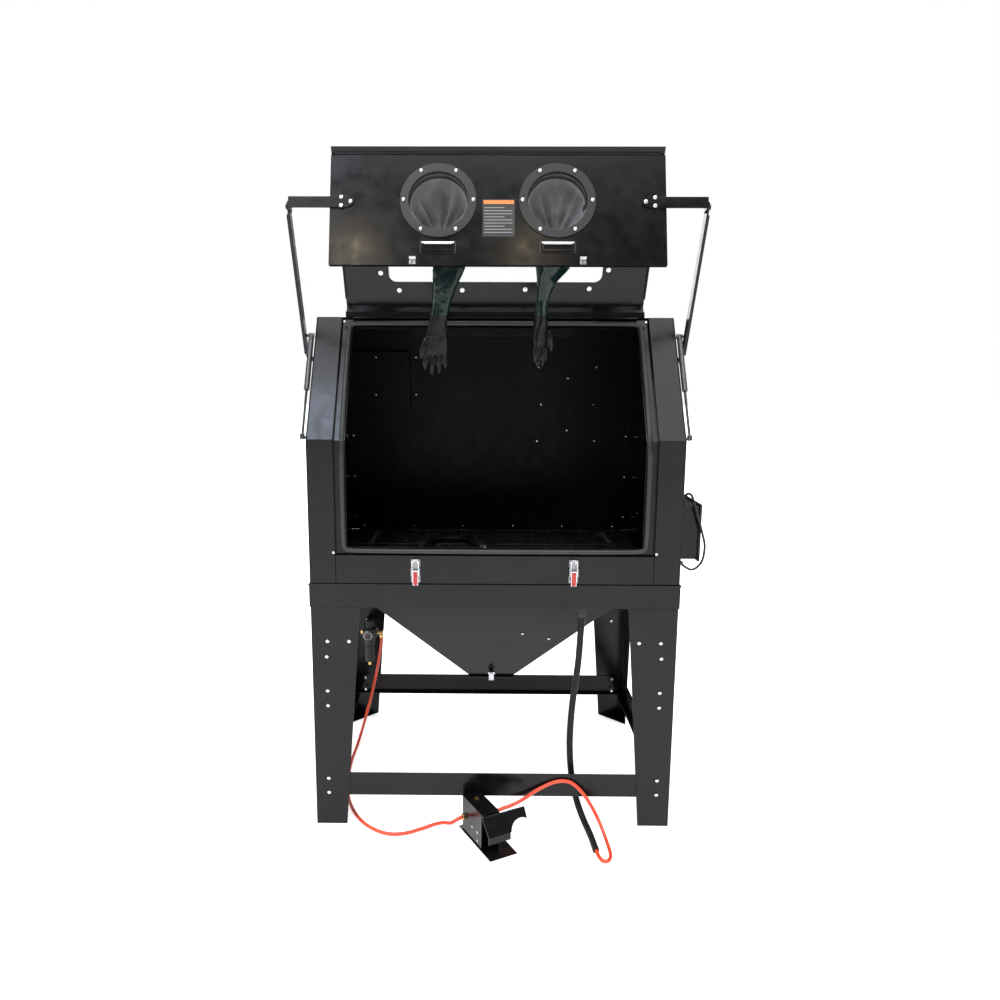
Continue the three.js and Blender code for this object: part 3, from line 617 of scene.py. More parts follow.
def round_line(name: str, line: Sequence[Vector], radius: float,
               finish: Finish) -> bpy.types.Object:
    """Make a round hose or wire along a line, as a curve.

    Args:
        name: the piece's name.
        line: the points of its centre line.
        radius: its radius in metres.
        finish: its finish.

    Returns:
        The curve object.
    """
    curve = bpy.data.curves.new(name, "CURVE")
    curve.dimensions = "3D"
    curve.bevel_depth = radius
    curve.bevel_resolution = 5
    curve.use_fill_caps = True
    spline = curve.splines.new("POLY")
    spline.points.add(len(line) - 1)
    for spot, place in zip(spline.points, line):
        spot.co = (*place, 1)
    spline.use_smooth = True
    piece = bpy.data.objects.new(name, curve)
    bpy.context.scene.collection.objects.link(piece)
    curve.materials.append(finish.make())
    return piece


class Head(Enum):
    """Kinds of fastener head."""

    BUTTON = "round head with a cross recess"
    HEX = "hexagon nut or bolt head on a flange"


def fastener(head: Head, radius: float, height: float, finish: Finish) -> bpy.types.Object:
    """Make one fastener head at the origin, pointing along +Z.

    Args:
        head: the kind of head.
        radius: its radius in metres.
        height: how far it stands out.
        finish: its finish.

    Returns:
        The head.
    """
    clear_bench()
    sides = 6 if head is Head.HEX else 16
    bpy.ops.mesh.primitive_cylinder_add(vertices=sides, radius=radius, depth=height,
                                        location=(0, 0, height / 2))
    piece = settle("fastener", finish, 35)
    top = height * 0.99
    choose_faces(piece, lambda centre, normal: normal.z > 0.9 and centre.z > top)
    bpy.ops.mesh.inset(thickness=radius * (0.2 if head is Head.HEX else 0.34))
    if head is Head.HEX:
        bpy.ops.mesh.extrude_region_move(TRANSFORM_OT_translate={"value": (0, 0, height * 0.3)})
    else:
        bpy.ops.transform.translate(value=(0, 0, height * 0.3))
        bpy.ops.mesh.inset(thickness=radius * 0.34)
        bpy.ops.mesh.extrude_region_move(TRANSFORM_OT_translate={"value": (0, 0, -height * 0.5)})
    bpy.ops.object.mode_set(mode="OBJECT")
    if head is Head.HEX:
        clear_bench()
        bpy.ops.mesh.primitive_cylinder_add(vertices=20, radius=radius * 1.3,
                                            depth=height * 0.3, location=(0, 0, height * 0.15))
        flange = settle("flange", finish, 35)
        piece = merge("fastener", [piece, flange])
    bpy.ops.object.shade_smooth_by_angle(angle=math.radians(35))
    return piece


def facing(place: Point, way: Point) -> Matrix:
    """Matrix that puts +Z along a direction at a place."""
    turn = Vector((0, 0, 1)).rotation_difference(Vector(way)).to_matrix().to_4x4()
    return Matrix.Translation(Vector(place)) @ turn


# ---------------------------------------------------------------- camera, stage, light
@dataclass(frozen=True)
class Lamp:
    """One round soft light aimed at the middle of the cabinet."""

    name: str
    place: tuple[float, float, float]
    size: float
    power: float
    tone: Colour = (1.0, 1.0, 1.0)

    def hang(self) -> None:
        """Add the light to the scene."""
        data = bpy.data.lights.new(self.name, "AREA")
        data.shape = "DISK"
        data.size = self.size
        data.energy = self.power
        data.color = self.tone
        lamp = bpy.data.objects.new(self.name, data)
        bpy.context.scene.collection.objects.link(lamp)
        aim = Vector((0, 0, 1.1)) - Vector(self.place)
        lamp.matrix_world = (Matrix.Translation(self.place)
                             @ aim.to_track_quat("-Z", "Y").to_matrix().to_4x4())


@dataclass
class Studio:
    """Camera, floor and lights."""

    LAMPS = (
        Lamp("front_soft", (-1.8, -3.8, 3.6), 2.4, 44),
        Lamp("right_soft", (3.4, -1.4, 2.4), 1.6, 22),
        Lamp("left_low", (-3.4, -1.2, 1.9), 1.3, 20),
        Lamp("top_soft", (0.2, 0.6, 4.8), 3.0, 36),
        Lamp("back_soft", (-1.0, 3.8, 2.6), 2.0, 40),
        Lamp("warm_left", (-0.9, -2.75, 3.7), 0.16, 2.4, (1.0, 0.80, 0.50)),
        Lamp("warm_right", (0.25, -2.75, 3.7), 0.16, 2.0, (1.0, 0.80, 0.50)),
        Lamp("blue_slope", (-1.15, -1.85, 3.95), 0.5, 9, (0.62, 0.74, 1.0)),
    )

    lens: float = 28.518
    shift: tuple[float, float] = (0.0321, 0.0017)
    eye: tuple[float, float, float] = (-63.4, -2489.2, 1545.0)
    yaw: float = -0.0094
    pitch: float = 0.1686
    roll: float = 0.0035
    floor_half: float = 30.0

    def place_camera(self) -> None:
        """Put the camera in front of the cabinet at eye height, looking slightly down."""
        ahead = Vector((math.sin(self.yaw) * math.cos(self.pitch),
                        math.cos(self.yaw) * math.cos(self.pitch), -math.sin(self.pitch)))
        right = Vector((math.cos(self.yaw), -math.sin(self.yaw), 0))
        up = right.cross(ahead)
        across = math.cos(self.roll) * right + math.sin(self.roll) * up
        above = -math.sin(self.roll) * right + math.cos(self.roll) * up
        data = bpy.data.cameras.new("camera")
        data.lens = self.lens
        data.sensor_width = 36
        data.shift_x, data.shift_y = self.shift
        camera = bpy.data.objects.new("camera", data)
        bpy.context.scene.collection.objects.link(camera)
        turn = Matrix((across, above, -ahead)).transposed().to_4x4()
        camera.matrix_world = Matrix.Translation(at(*self.eye)) @ turn
        bpy.context.scene.camera = camera

    def lay_floor(self) -> None:
        """Lay the plain pale floor."""
        clear_bench()
        bpy.ops.mesh.primitive_plane_add(size=2 * self.floor_half, location=(0, 0, -0.0005))
        settle("floor", FLOOR_PALE)

    def light(self) -> None:
        """Hang the soft lights and set the pale surroundings."""
        for lamp in self.LAMPS:
            lamp.hang()
        sky = bpy.data.lights.new("even_sky", "SUN")
        sky.energy = 4.4
        sky.angle = math.radians(70)
        sky.specular_factor = 0.0
        above = bpy.data.objects.new("even_sky", sky)
        bpy.context.scene.collection.objects.link(above)
        above.matrix_world = Matrix.Translation((0, 0, 6)) @ Matrix.Rotation(0.2, 4, "X")
        world = bpy.data.worlds.new("surroundings")
        world.use_nodes = True
        bpy.context.scene.world = world
        tree = world.node_tree
        dim = tree.nodes["Background"]
        dim.inputs["Color"].default_value = (0.86, 0.92, 1.0, 1)
        dim.inputs["Strength"].default_value = 0.17
        white = tree.nodes.new("ShaderNodeBackground")
        white.inputs["Color"].default_value = (1, 1, 1, 1)
        white.inputs["Strength"].default_value = 1.0
        seen = tree.nodes.new("ShaderNodeLightPath")
        bpy.context.scene.view_settings.view_transform = "Standard"
        mix = tree.nodes.new("ShaderNodeMixShader")
        tree.links.new(seen.outputs["Is Camera Ray"], mix.inputs["Fac"])
        tree.links.new(dim.outputs["Background"], mix.inputs[1])
        tree.links.new(white.outputs["Background"], mix.inputs[2])
        tree.links.new(mix.outputs["Shader"], tree.nodes["World Output"].inputs["Surface"])

    def build(self) -> None:
        """Set up the whole studio."""
        self.place_camera()
        self.lay_floor()
        self.light()


# ---------------------------------------------------------------- hoses
@dataclass
class Hoses:
    """Air hoses on the floor, the sleeve, the media hose and the light's lead."""

    air: float = 12.0
    sleeve: float = 22.0
    media: float = 24.0
    lead: float = 8.0

    SUPPLY = [
        [-461, 741, 419.6], [-461, 741, 400], [-464, 740, 366], [-471, 738, 318],
        [-480, 734, 264], [-493, 722, 202], [-508, 700, 138], [-524, 664, 76], [-536, 616, 32],
        [-543, 560, 10], [-546, 500, 6.5], [-547, 420, 6.5], [-542, 320, 6.5], [-531, 223, 6.5],
        [-509, 130, 6.5], [-470, 40, 6.5], [-418, -28, 6.5], [-352, -68, 6.5], [-290, -64, 6.5],
        [-236, -38, 8], [-198, -28, 16], [-168, -38, 29], [-140, -60, 42], [-122, -60, 53],
        [-103, -50.2, 58],
    ]
    PEDAL = [
        [0.6, -52.4, 78], [18, -43.3, 79], [36, -34, 82], [64, -26, 88], [104, -18, 106],
        [150, -9, 134], [196, -5, 157], [236, -4, 166], [270, -6, 158], [302, -16, 131],
        [328, -32, 98], [350, -54, 62], [364, -82, 34], [372, -114, 17], [376, -150, 9],
        [374, -184, 6.8], [362, -206, 6.5], [346, -206, 7.2], [337, -190, 9], [333.5, -174, 11],
        [332, -160.6, 12],
    ]
    SLEEVE = [
        [288, 22, 734.6], [288, 22, 714], [286, 24, 650], [283, 30, 578], [277, 38, 504],
        [270, 46, 431], [266, 54, 354], [265, 58, 279], [268, 60, 214], [274, 59, 158],
        [283, 54, 106], [293, 44, 66], [304, 24, 36], [314, -6, 18], [321, -42, 12.4],
        [326, -84, 11.4], [329, -124, 11.4], [331.4, -159.4, 11.7],
    ]
    MEDIA = [
        [-48.6, 420.6, 884], [-53.9, 451, 883.4], [-60, 492, 876], [-74, 548, 869],
        [-106, 594, 869], [-155, 612, 869], [-206, 592, 869], [-236, 545, 869],
        [-243, 488, 869], [-232, 420, 869], [-198, 344, 869], [-140, 276, 869], [-64, 238, 869],
        [24, 226, 869], [112, 226, 869], [184, 226, 869], [238, 216, 870], [273, 196, 867],
        [287, 166, 852], [290, 138, 827], [290, 114, 800], [290, 100, 782],
    ]
    LEAD = [
        [639, 150, 1090.4], [639, 149, 1104], [641, 145, 1118], [648, 135, 1129],
        [656, 122, 1127], [662, 110, 1108], [670, 102, 1076], [681, 99, 1041], [695, 98, 993],
        [702, 96, 957], [696, 92, 914], [680, 89, 890], [659, 85, 881], [638, 80, 890],
        [619, 76, 904], [600.9, 76, 906],
    ]

    def _run(self, name: str, route: Sequence[Point], diameter: float, finish: Finish,
             slot: str, node: str) -> bpy.types.Object:
        """Args:
            name: the piece's name.
            route: its points in millimetres on the cabinet.
            diameter: its diameter in millimetres.
            finish: its finish.
            slot: the record's material slot.
            node: the plain solid it stands for.

        Returns:
            The hose.
        """
        line = smooth_route([at(*p) for p in route])
        hose = round_line(name, line, diameter / 2000, finish)
        lay_on(hose, "cabinet", slot, node)
        return hose

    def build(self) -> None:
        """Lay every hose and the lead."""
        self._run("supply_air_hose", self.SUPPLY, self.air, ORANGE, "orange_hose",
                  "supply_hose")
        self._run("pedal_air_hose", self.PEDAL, self.air, ORANGE, "orange_hose",
                  "pedal_hose")
        self._run("braided_sleeve", self.SLEEVE, self.sleeve, BLACK_HOSE, "rubber",
                  "sleeve_hose")
        self._run("media_feed_hose", self.MEDIA, self.media, BLACK_HOSE, "rubber",
                  "media_hose")
        self._run("lamp_lead", self.LEAD, self.lead, BLACK_PLASTIC, "black_plastic",
                  "light_lead")
        dressed("hose_gland", "cabinet", BLACK_PLASTIC, "black_plastic", 0.001)


# ---------------------------------------------------------------- cabinet shell
@dataclass
class Shell:
    """Sheet-steel body: panels, pillars, skirt, seal and what is screwed to them."""

    edge: float = 0.0012
    crease: float = 10.0
    screw: float = 0.0042

    PANELS = ("side_panel_left", "side_panel_right", "pillar_left", "pillar_right",
              "front_sill", "top_panel", "skirt_frame")
    BACK_SCREWS = ((201, 1544), (443, 1545), (323, 1498), (212, 1389), (433, 1390), (323, 1280),
                   (198, 1234), (441, 1235), (-315, 1584), (-315, 1429), (-543, 864), (-327, 864),
                   (-115, 864), (101, 864), (313, 864), (530, 864), (-583, 1255), (-583, 1080),
                   (-583, 903), (575, 1255), (575, 1080), (575, 905))
    SIDE_SCREWS = ((Side.LEFT, 689, 880), (Side.RIGHT, 699, 958), (Side.RIGHT, 748, 880))

    def _panels(self) -> None:
        """Dress the outer sheets in gloss coat and the back in the duller inner coat, whose darker black is
        painted shade inside the cabinet.
        """
        for node in self.PANELS:
            dressed(node, "cabinet", GLOSS_COAT, "black_coat", self.edge, self.crease)
        dressed("back_panel", "cabinet", SHADED_INNER_COAT, "black_coat", self.edge)

    def _seal(self) -> None:
        """Give the seal its round bulb by smoothing the swept strip."""
        seal = dressed("door_seal", "cabinet", SEAL_RUBBER, "rubber", 0, 80)
        pick(seal)
        smooth = seal.modifiers.new("round", "SUBSURF")
        smooth.levels = smooth.render_levels = 1
        bpy.ops.object.modifier_apply(modifier="round")

    def _screws(self) -> None:
        """Screw the back wall, the seal corners and the sill."""
        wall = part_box("back_panel")[0].y
        head = fastener(Head.BUTTON, self.screw, 0.0025, ZINC)
        back = copies("back_wall_screws", head,
                      [facing((MIDDLE_X + x / 1000, wall, z / 1000), (0, -1, 0))
                       for x, z in self.BACK_SCREWS])
        lay_on(back, "cabinet", "chrome")
        head = fastener(Head.BUTTON, self.screw, 0.0025, ZINC)
        walls = {Side.LEFT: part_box("side_panel_left")[1].x, Side.RIGHT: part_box("side_panel_right")[0].x}
        lay_on(copies("side_wall_screws", head,
                      [facing((walls[side], at(0, y, 0).y, z / 1000), (-side.value, 0, 0))
                       for side, y, z in self.SIDE_SCREWS]), "cabinet", "chrome")
        head = fastener(Head.BUTTON, self.screw, 0.0025, ZINC)
        slope = math.radians(SLOPE)
        out = (0, -math.sin(slope), math.cos(slope))
        corners = []
        for x in (-505, 505):
            corners.append(facing(at(1.03 * x, -0.1, 953), (0, -1, 0)))
            corners.append(facing(at(x, 243 * 0.955 - 0.3, 1318 + 392 * 0.955), out))
        lay_on(copies("seal_corner_screws", head, corners), "cabinet", "chrome")

    def _baffle(self) -> None:
        """Fold the exhaust baffle that shields the dust outlet inside the back wall."""
        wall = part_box("back_panel")[0].y
        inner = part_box("side_panel_left")[1].x
        low = Vector((inner - 0.001, wall - 0.040, 1.363))
        high = Vector((MIDDLE_X - 0.338, wall - 0.0375, 1.605))
        # The baffle takes the inner coat, whose darker black is painted shade inside the cabinet.
        plate = block("baffle_plate", low, high, SHADED_INNER_COAT, 0.0006)
        leg = block("baffle_side", (MIDDLE_X - 0.3405, wall - 0.038, 1.363),
                    (MIDDLE_X - 0.338, wall - 0.0004, 1.605), SHADED_INNER_COAT, 0.0006)
        lay_on(merge("exhaust_baffle", [plate, leg]), "cabinet", "black_coat")
        head = fastener(Head.BUTTON, self.screw, 0.0025, ZINC)
        lay_on(copies("baffle_screws", head,
                      [facing((MIDDLE_X - 0.479, low.y, z), (0, -1, 0)) for z in (1.583, 1.429)]),
               "cabinet", "chrome")

    def _corners(self) -> None:
        """Close the inner corners of the body with small folded angles."""
        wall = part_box("back_panel")[0].y
        low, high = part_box("back_panel")
        left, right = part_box("side_panel_left")[1].x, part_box("side_panel_right")[0].x
        pieces = []
        for edge, way in ((left, 1), (right, -1)):
            near, far = sorted((edge - way * 0.0006, edge + way * 0.016))
            # The corner angles take the inner coat, whose darker black is painted shade in the inner
            # corners.
            pieces.append(block("angle_back", (near, wall - 0.0014, low.z + 0.002),
                                (far, wall + 0.0006, high.z - 0.004), SHADED_INNER_COAT, 0.0003))
            near, far = sorted((edge - way * 0.0006, edge + way * 0.0014))
            pieces.append(block("angle_side", (near, wall - 0.018, low.z + 0.002),
                                (far, wall - 0.0002, high.z - 0.004), SHADED_INNER_COAT, 0.0003))
        lay_on(merge("corner_angles", pieces), "cabinet", "black_coat")

    def _lamp(self) -> None:
        """Dress the work light in one near-black finish: a coated housing over a diffuser painted dark as
        painted shade under the roof.
        """
        dressed("work_light", "cabinet", SHADED_LAMP_COVER, "light_white", 0.003)

    def build(self) -> None:
        """Build the shell."""
        self._panels()
        self._seal()
        self._screws()
        self._baffle()
        self._corners()
        self._lamp()
        dressed("dust_outlet", "cabinet", GLOSS_COAT, "black_coat", 0.0008, 40)


@dataclass
class Base:
    """Legs, braces, hopper, clean-out door and the grate inside."""

    bolt: float = 0.0058
    wire: float = 0.0016
    pitch: float = 0.024

    LEG_BOLTS = ((547, 654), (476, 654), (551, 601), (551, 482), (551, 430), (555, 169),
                 (555, 117))
    HOPPER_SCREWS = ((105, 621), (199, 597))

    def _sheets(self) -> None:
        """Dress the legs, braces and hopper."""
        for end in ("front", "rear"):
            for side in Side:
                dressed(f"leg_{end}_{side.word}", "cabinet", GLOSS_COAT, "black_coat", 0.0012)
            dressed(f"brace_{end}", "cabinet", GLOSS_COAT, "black_coat", 0.0008)
        for side in Side:
            dressed(f"brace_{side.word}", "cabinet", GLOSS_COAT, "black_coat", 0.0008)
        dressed("hopper", "cabinet", GLOSS_COAT, "black_coat", 0.001)
        dressed("hopper_door", "clean_out_door", GLOSS_COAT, "black_coat", 0.001)
        dressed("hopper_catch", "door_catch", CHROME, "chrome", 0.0012, 40)

    def _bolts(self) -> None:
        """Bolt the legs to the skirt and the braces, on their front, rear and outer faces."""
        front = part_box("leg_front_left")[0].y
        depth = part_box("leg_rear_left")[1].y
        places = []
        for x, z in self.LEG_BOLTS:
            for side in Side:
                across = MIDDLE_X + side.value * x / 1000
                places.append(facing((across, front, z / 1000), (0, -1, 0)))
                places.append(facing((across, depth, z / 1000), (0, 1, 0)))
                wall = MIDDLE_X + side.value * 0.600
                inset = (600 - x) / 1000
                for along in (front + inset, depth - inset):
                    places.append(facing((wall, along, z / 1000), (side.value, 0, 0)))
        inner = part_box("brace_rear")[0].y
        for side in Side:
            for x, z, y in ((548, 180, inner), (548, 125, inner), (541, 441, depth - 0.003)):
                across = MIDDLE_X + side.value * x / 1000
                places.append(facing((across, y, z / 1000), (0, -1, 0)))
        head = fastener(Head.BUTTON, self.bolt, 0.0034, ZINC)
        lay_on(copies("leg_bolts", head, places), "cabinet", "chrome")

    def _hopper_screws(self) -> None:
        """Put the screws through the hopper's front slope."""
        out = Vector((0, -(834 - 396), -(350 - 24))).normalized()
        head = fastener(Head.BUTTON, 0.005, 0.0028, ZINC)
        places = []
        for x, z in self.HOPPER_SCREWS:
            y = 350 - (z - 396) / 438 * 326
            places.append(facing(at(x, y, z) + out * 0.0001, out))
        lay_on(copies("hopper_screws", head, places), "cabinet", "chrome")

    def _grate(self) -> None:
        """Lay crossed wires over the grate's frame."""
        low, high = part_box("work_grate")
        frame_piece = dressed("work_grate", "cabinet", DARK_STEEL, "dark_steel", 0.0008)
        level = high.z - self.wire
        wires = []
        for start, end, along in ((low.x, high.x, 0), (low.y, high.y, 1)):
            count = int((end - start - 0.03) / self.pitch)
            clear_bench()
            span = (high.y - low.y if along == 0 else high.x - low.x) - 0.02
            mid = (low + high) / 2
            turn = (math.pi / 2, 0, 0) if along == 0 else (0, math.pi / 2, 0)
            first = start + (end - start - (count - 1) * self.pitch) / 2
            place = (first, mid.y, level) if along == 0 else (mid.x, first, level)
            bpy.ops.mesh.primitive_cylinder_add(vertices=6, radius=self.wire / 2, depth=span,
                                                location=place, rotation=turn)
            wire = settle("grate_wire", DARK_STEEL, 60)
            step = wire.modifiers.new("repeat", "ARRAY")
            step.count = count
            step.use_relative_offset = False
            step.use_constant_offset = True
            step.constant_offset_displace = (self.pitch, 0, 0) if along == 0 else (0, self.pitch, 0)
            pick(wire)
            bpy.ops.object.modifier_apply(modifier="repeat")
            wires.append(wire)
        lay_on(merge("grate_wires", wires), "cabinet", "dark_steel")
        log.info("%s carries the wires", frame_piece.name)

    def _gun(self) -> None:
        """Shape the blast gun: a body with a collar and a tapered nozzle."""
        place = Matrix.Translation(at(-40, 372, 884)) @ Matrix.Rotation(math.radians(10), 4, "Z")
        body = block("gun_body", (-0.016, -0.046, -0.022), (0.016, 0.046, 0.022), DARK_STEEL, 0.006,
                     place)
        collar = drum("gun_collar", 0.015, -0.067, -0.041, ZINC, (0, 0, 0.004), Axis.Y, 24, 0.002,
                      place)
        nozzle = drum("gun_nozzle", 0.011, -0.113, -0.066, DIAL_WHITE, (0, 0, 0.004), Axis.Y, 24,
                      0.003, place)
        lug = block("gun_lug", (-0.013, 0.020, -0.028), (0.013, 0.046, -0.018), DARK_STEEL, 0.002,
                    place)
        lay_on(merge("blast_gun_body", [body, collar, nozzle, lug]), "cabinet", "dark_steel",
               "blast_gun")

    def build(self) -> None:
        """Build the base."""
        self._sheets()
        self._bolts()
        self._hopper_screws()
        self._grate()
        self._gun()


# ---------------------------------------------------------------- sill latches
@dataclass
class Latches:
    """Toggle latches on the sill."""

    x: float = 255.0
    pin_z: float = 893.0

    def _lever(self, side: Side) -> None:
        """Build one lever: a chrome frame with a red dipped grip.

        Args:
            side: the side that the latch stands on.
        """
        mid = MIDDLE_X + side.value * self.x / 1000
        y = FRONT_Y - 0.0113
        place = Matrix.Translation((mid, y, self.pin_z / 1000))
        grip = block("grip", (-0.0072, -0.0099, -0.0425), (0.0072, -0.0042, 0.002), RED_GRIP,
                     0.0024, place)
        cheek = block("cheek", (-0.0088, -0.0070, -0.0435), (0.0088, -0.0026, 0.004), CHROME,
                      0.0008, place)
        head = block("head", (-0.0088, -0.0088, 0.0014), (0.0088, -0.002, 0.0050), CHROME, 0.0012,
                     place)
        pin = drum("pin", 0.003, -0.0116, 0.0116, CHROME, (0, 0, 0), Axis.X, 20, 0.0004, place)
        lay_on(merge(f"latch_grip_{side.word}", [grip, cheek, head, pin]),
               f"latch_{side.word}", "red_grip", f"latch_lever_{side.word}")

    def _loop(self, side: Side) -> None:
        """Bend the wire loop that hooks over the keeper.

        Args:
            side: the side that the latch stands on.
        """
        base = Vector((MIDDLE_X + side.value * self.x / 1000, FRONT_Y - 0.0183,
                       (self.pin_z - 8) / 1000))
        path = [(-0.0102, 0, -0.003), (-0.0102, 0, 0.010), (-0.0102, 0, 0.030), (-0.0100, 0, 0.043),
                (-0.0065, 0, 0.0478), (0, 0, 0.0482), (0.0065, 0, 0.0478), (0.0100, 0, 0.043),
                (0.0102, 0, 0.030), (0.0102, 0, 0.010), (0.0102, 0, -0.003)]
        wire = round_line(f"latch_wire_{side.word}",
                          smooth_route([base + Vector(p) for p in path], 4), 0.0012, CHROME)
        lay_on(wire, f"loop_{side.word}", "chrome", f"latch_loop_{side.word}")

    def _base(self, side: Side) -> None:
        """Dress the latch's base and rivet it down.

        Args:
            side: the side that the latch stands on.
        """
        dressed(f"latch_base_{side.word}", "cabinet", ROD_STEEL, "chrome", 0.0006)
        mid = MIDDLE_X + side.value * self.x / 1000
        head = fastener(Head.BUTTON, 0.0034, 0.0016, ZINC)
        places = [facing((mid + dx, FRONT_Y - 0.0033, z), (0, -1, 0))
                  for z in (0.924, 0.862) for dx in (-0.0075, 0.0075)]
        lay_on(copies(f"latch_rivets_{side.word}", head, places), "cabinet", "chrome")

    def build(self) -> None:
        """Build both latches."""
        for side in Side:
            self._base(side)
            self._lever(side)
            self._loop(side)


# ---------------------------------------------------------------- folding lid
@dataclass
class Lid:
    """Window panel and glove panel with everything fixed to them."""

    port_x: float = 0.179
    port_drop: float = 0.150
    bore: float = 0.090
    bolt_circle: float = 0.105
    port_bolts: int = 6

    NUTS = ((-382, 116), (-323, 56), (-111, 57), (101, 60), (316, 63), (374, 128), (-385, 300),
            (378, 300), (-320, 425), (0, 428), (316, 425))

    def _panels(self) -> None:
        """Dress the two lid sheets and the window."""
        dressed("glove_panel", "glove_lid", GLOSS_COAT, "black_coat", 0.0012)
        dressed("window_panel", "window_lid", GLOSS_COAT, "black_coat", 0.0010)
        dressed("window_glass", "window_lid", GLASS, "glass", 0.0006)

    def _nuts(self) -> None:
        """Put the window frame's nuts on the inner face of the window panel."""
        bend = math.hypot(259, 418)
        head = fastener(Head.HEX, 0.0058, 0.004, ZINC)
        places = []
        for x, down in self.NUTS:
            spot = WINDOW_FACE @ Vector((x / 1000, (bend - down) / 1000, 0.0043 - 0.0001))
            out = WINDOW_FACE.to_3x3() @ Vector((0, 0, -1))
            places.append(facing(spot, out))
        lay_on(copies("window_nuts", head, places), "window_lid", "chrome")

    def _port(self, side: Side) -> None:
        """Dress one moulded port ring and bolt it to the panel.

        Args:
            side: the side that the port is on.
        """
        place = GLOVE_FACE @ Matrix.Translation((side.value * self.port_x, -self.port_drop, 0))
        dressed(f"glove_port_{side.word}", "glove_lid", RING_PLASTIC, "rubber", 0.0016, 40)
        head = fastener(Head.BUTTON, 0.0055, 0.003, ZINC)
        bolts = []
        for i in range(self.port_bolts):
            turn = 2 * math.pi * i / self.port_bolts
            spot = place @ Vector((self.bolt_circle * math.cos(turn),
                                   self.bolt_circle * math.sin(turn), 0.0094))
            bolts.append(facing(spot, place.to_3x3() @ Vector((0, 0, 1))))
        lay_on(copies(f"port_bolts_{side.word}", head, bolts), "glove_lid", "chrome")

    def _cuff(self, side: Side) -> None:
        """Gather the mesh cuff inside a port, from the ring down towards the sleeve.

        Args:
            side: the side that the port is on.
        """
        clear_bench()
        bpy.ops.mesh.primitive_circle_add(vertices=96, radius=self.bore - 0.0005)
        piece = settle(f"port_cuff_{side.word}", CUFF_MESH, 60)
        pick(piece)
        rings = ((0.0, -0.002, 1.0, 0.0), (0.0, -0.026, 0.985, 0.02), (-0.003, -0.044, 0.93, 0.10),
                 (-0.009, -0.058, 0.84, 0.22), (-0.020, -0.070, 0.72, 0.34),
                 (-0.034, -0.080, 0.58, 0.42), (-0.048, -0.088, 0.42, 0.42),
                 (-0.060, -0.092, 0.22, 0.30), (-0.066, -0.092, 0.02, 0.0))
        base = [v.co.copy() for v in piece.data.vertices]
        count = len(base)
        bpy.ops.object.mode_set(mode="EDIT")
        bpy.ops.mesh.select_mode(type="VERT")
        bpy.ops.mesh.select_all(action="SELECT")
        for _ in rings[1:]:
            bpy.ops.mesh.extrude_region_move()
        bpy.ops.object.mode_set(mode="OBJECT")
        phase = 0.7 if side is Side.LEFT else 2.1
        for row, (drop, depth, scale, fold) in enumerate(rings):
            for k in range(count):
                vertex = piece.data.vertices[row * count + k]
                spot = base[k]
                turn = math.atan2(spot.y, spot.x)
                wave = (0.62 * math.sin(6 * turn + phase)
                        + 0.38 * math.sin(10 * turn + 2.3 * phase + row * 0.2))
                pleat = 1 + 0.35 * fold * wave
                high = 0.5 + 0.5 * math.sin(turn)
                sink = depth * (0.62 + 0.48 * high) - 0.030 * fold * (wave + 0.6)
                vertex.co = Vector((spot.x * scale * pleat, spot.y * scale * pleat + drop, sink))
        # The upper band of the cuff takes the ring's dark plastic: partly the ring's own black bore wall,
        # partly painted shade under the ring's top rim, so only the upper half is darkened.
        piece.data.materials.append(RING_PLASTIC.make())
        for face in piece.data.polygons:
            face.material_index = int(face.center.z > -0.032 and face.center.y > -0.02)
        place = GLOVE_FACE @ Matrix.Translation((side.value * self.port_x, -self.port_drop, 0))
        piece.data.transform(place)
        pick(piece)
        wall = piece.modifiers.new("cloth", "SOLIDIFY")
        wall.thickness = 0.0012
        bpy.ops.object.modifier_apply(modifier="cloth")
        bpy.ops.object.mode_set(mode="EDIT")
        bpy.ops.mesh.select_all(action="SELECT")
        bpy.ops.mesh.normals_make_consistent(inside=False)
        bpy.ops.object.mode_set(mode="OBJECT")
        bpy.ops.object.shade_smooth()
        lay_on(piece, "glove_lid", "glove_rubber")

    def _handle(self, side: Side) -> None:
        """Build one drop handle: a pressed dish with a near-black sheet in its recess as painted shade, and
        a chrome bail painted gloss black below its top bar as painted shade, so only the top bar shows
        bright.

        Args:
            side: the side that the handle is on.
        """
        place = GLOVE_FACE @ Matrix.Translation((side.value * self.port_x, -0.284, 0))
        dish = block("dish", (-0.054, -0.028, LID_SKIN + 0.0001), (0.054, 0.008, LID_SKIN + 0.0012),
                     DARK_STEEL, 0.0004, place)
        # A near-black sheet inside the dish: painted shade in the handle's recess.
        well = block("well", (-0.0505, -0.0255, LID_SKIN + 0.0010),
                     (0.0505, 0.0055, LID_SKIN + 0.0014), SHADED_INNER_COAT, 0.0001, place)
        lay_on(merge(f"handle_dish_{side.word}", [dish, well]), "glove_lid", "black_coat")
        bail = dressed(f"drop_handle_{side.word}", f"handle_{side.word}", GLOSS_COAT, "chrome",
                       0.0014, 40)
        # Only the bail's top 12 mm are chrome; below that the chrome bail is painted gloss black as painted
        # shade.
        bail.data.materials.append(CHROME.make())
        up = GLOVE_FACE.inverted()
        top = max((up @ v.co).y for v in bail.data.vertices)
        for face in bail.data.polygons:
            face.material_index = 1 if (up @ face.center).y > top - 0.012 else 0

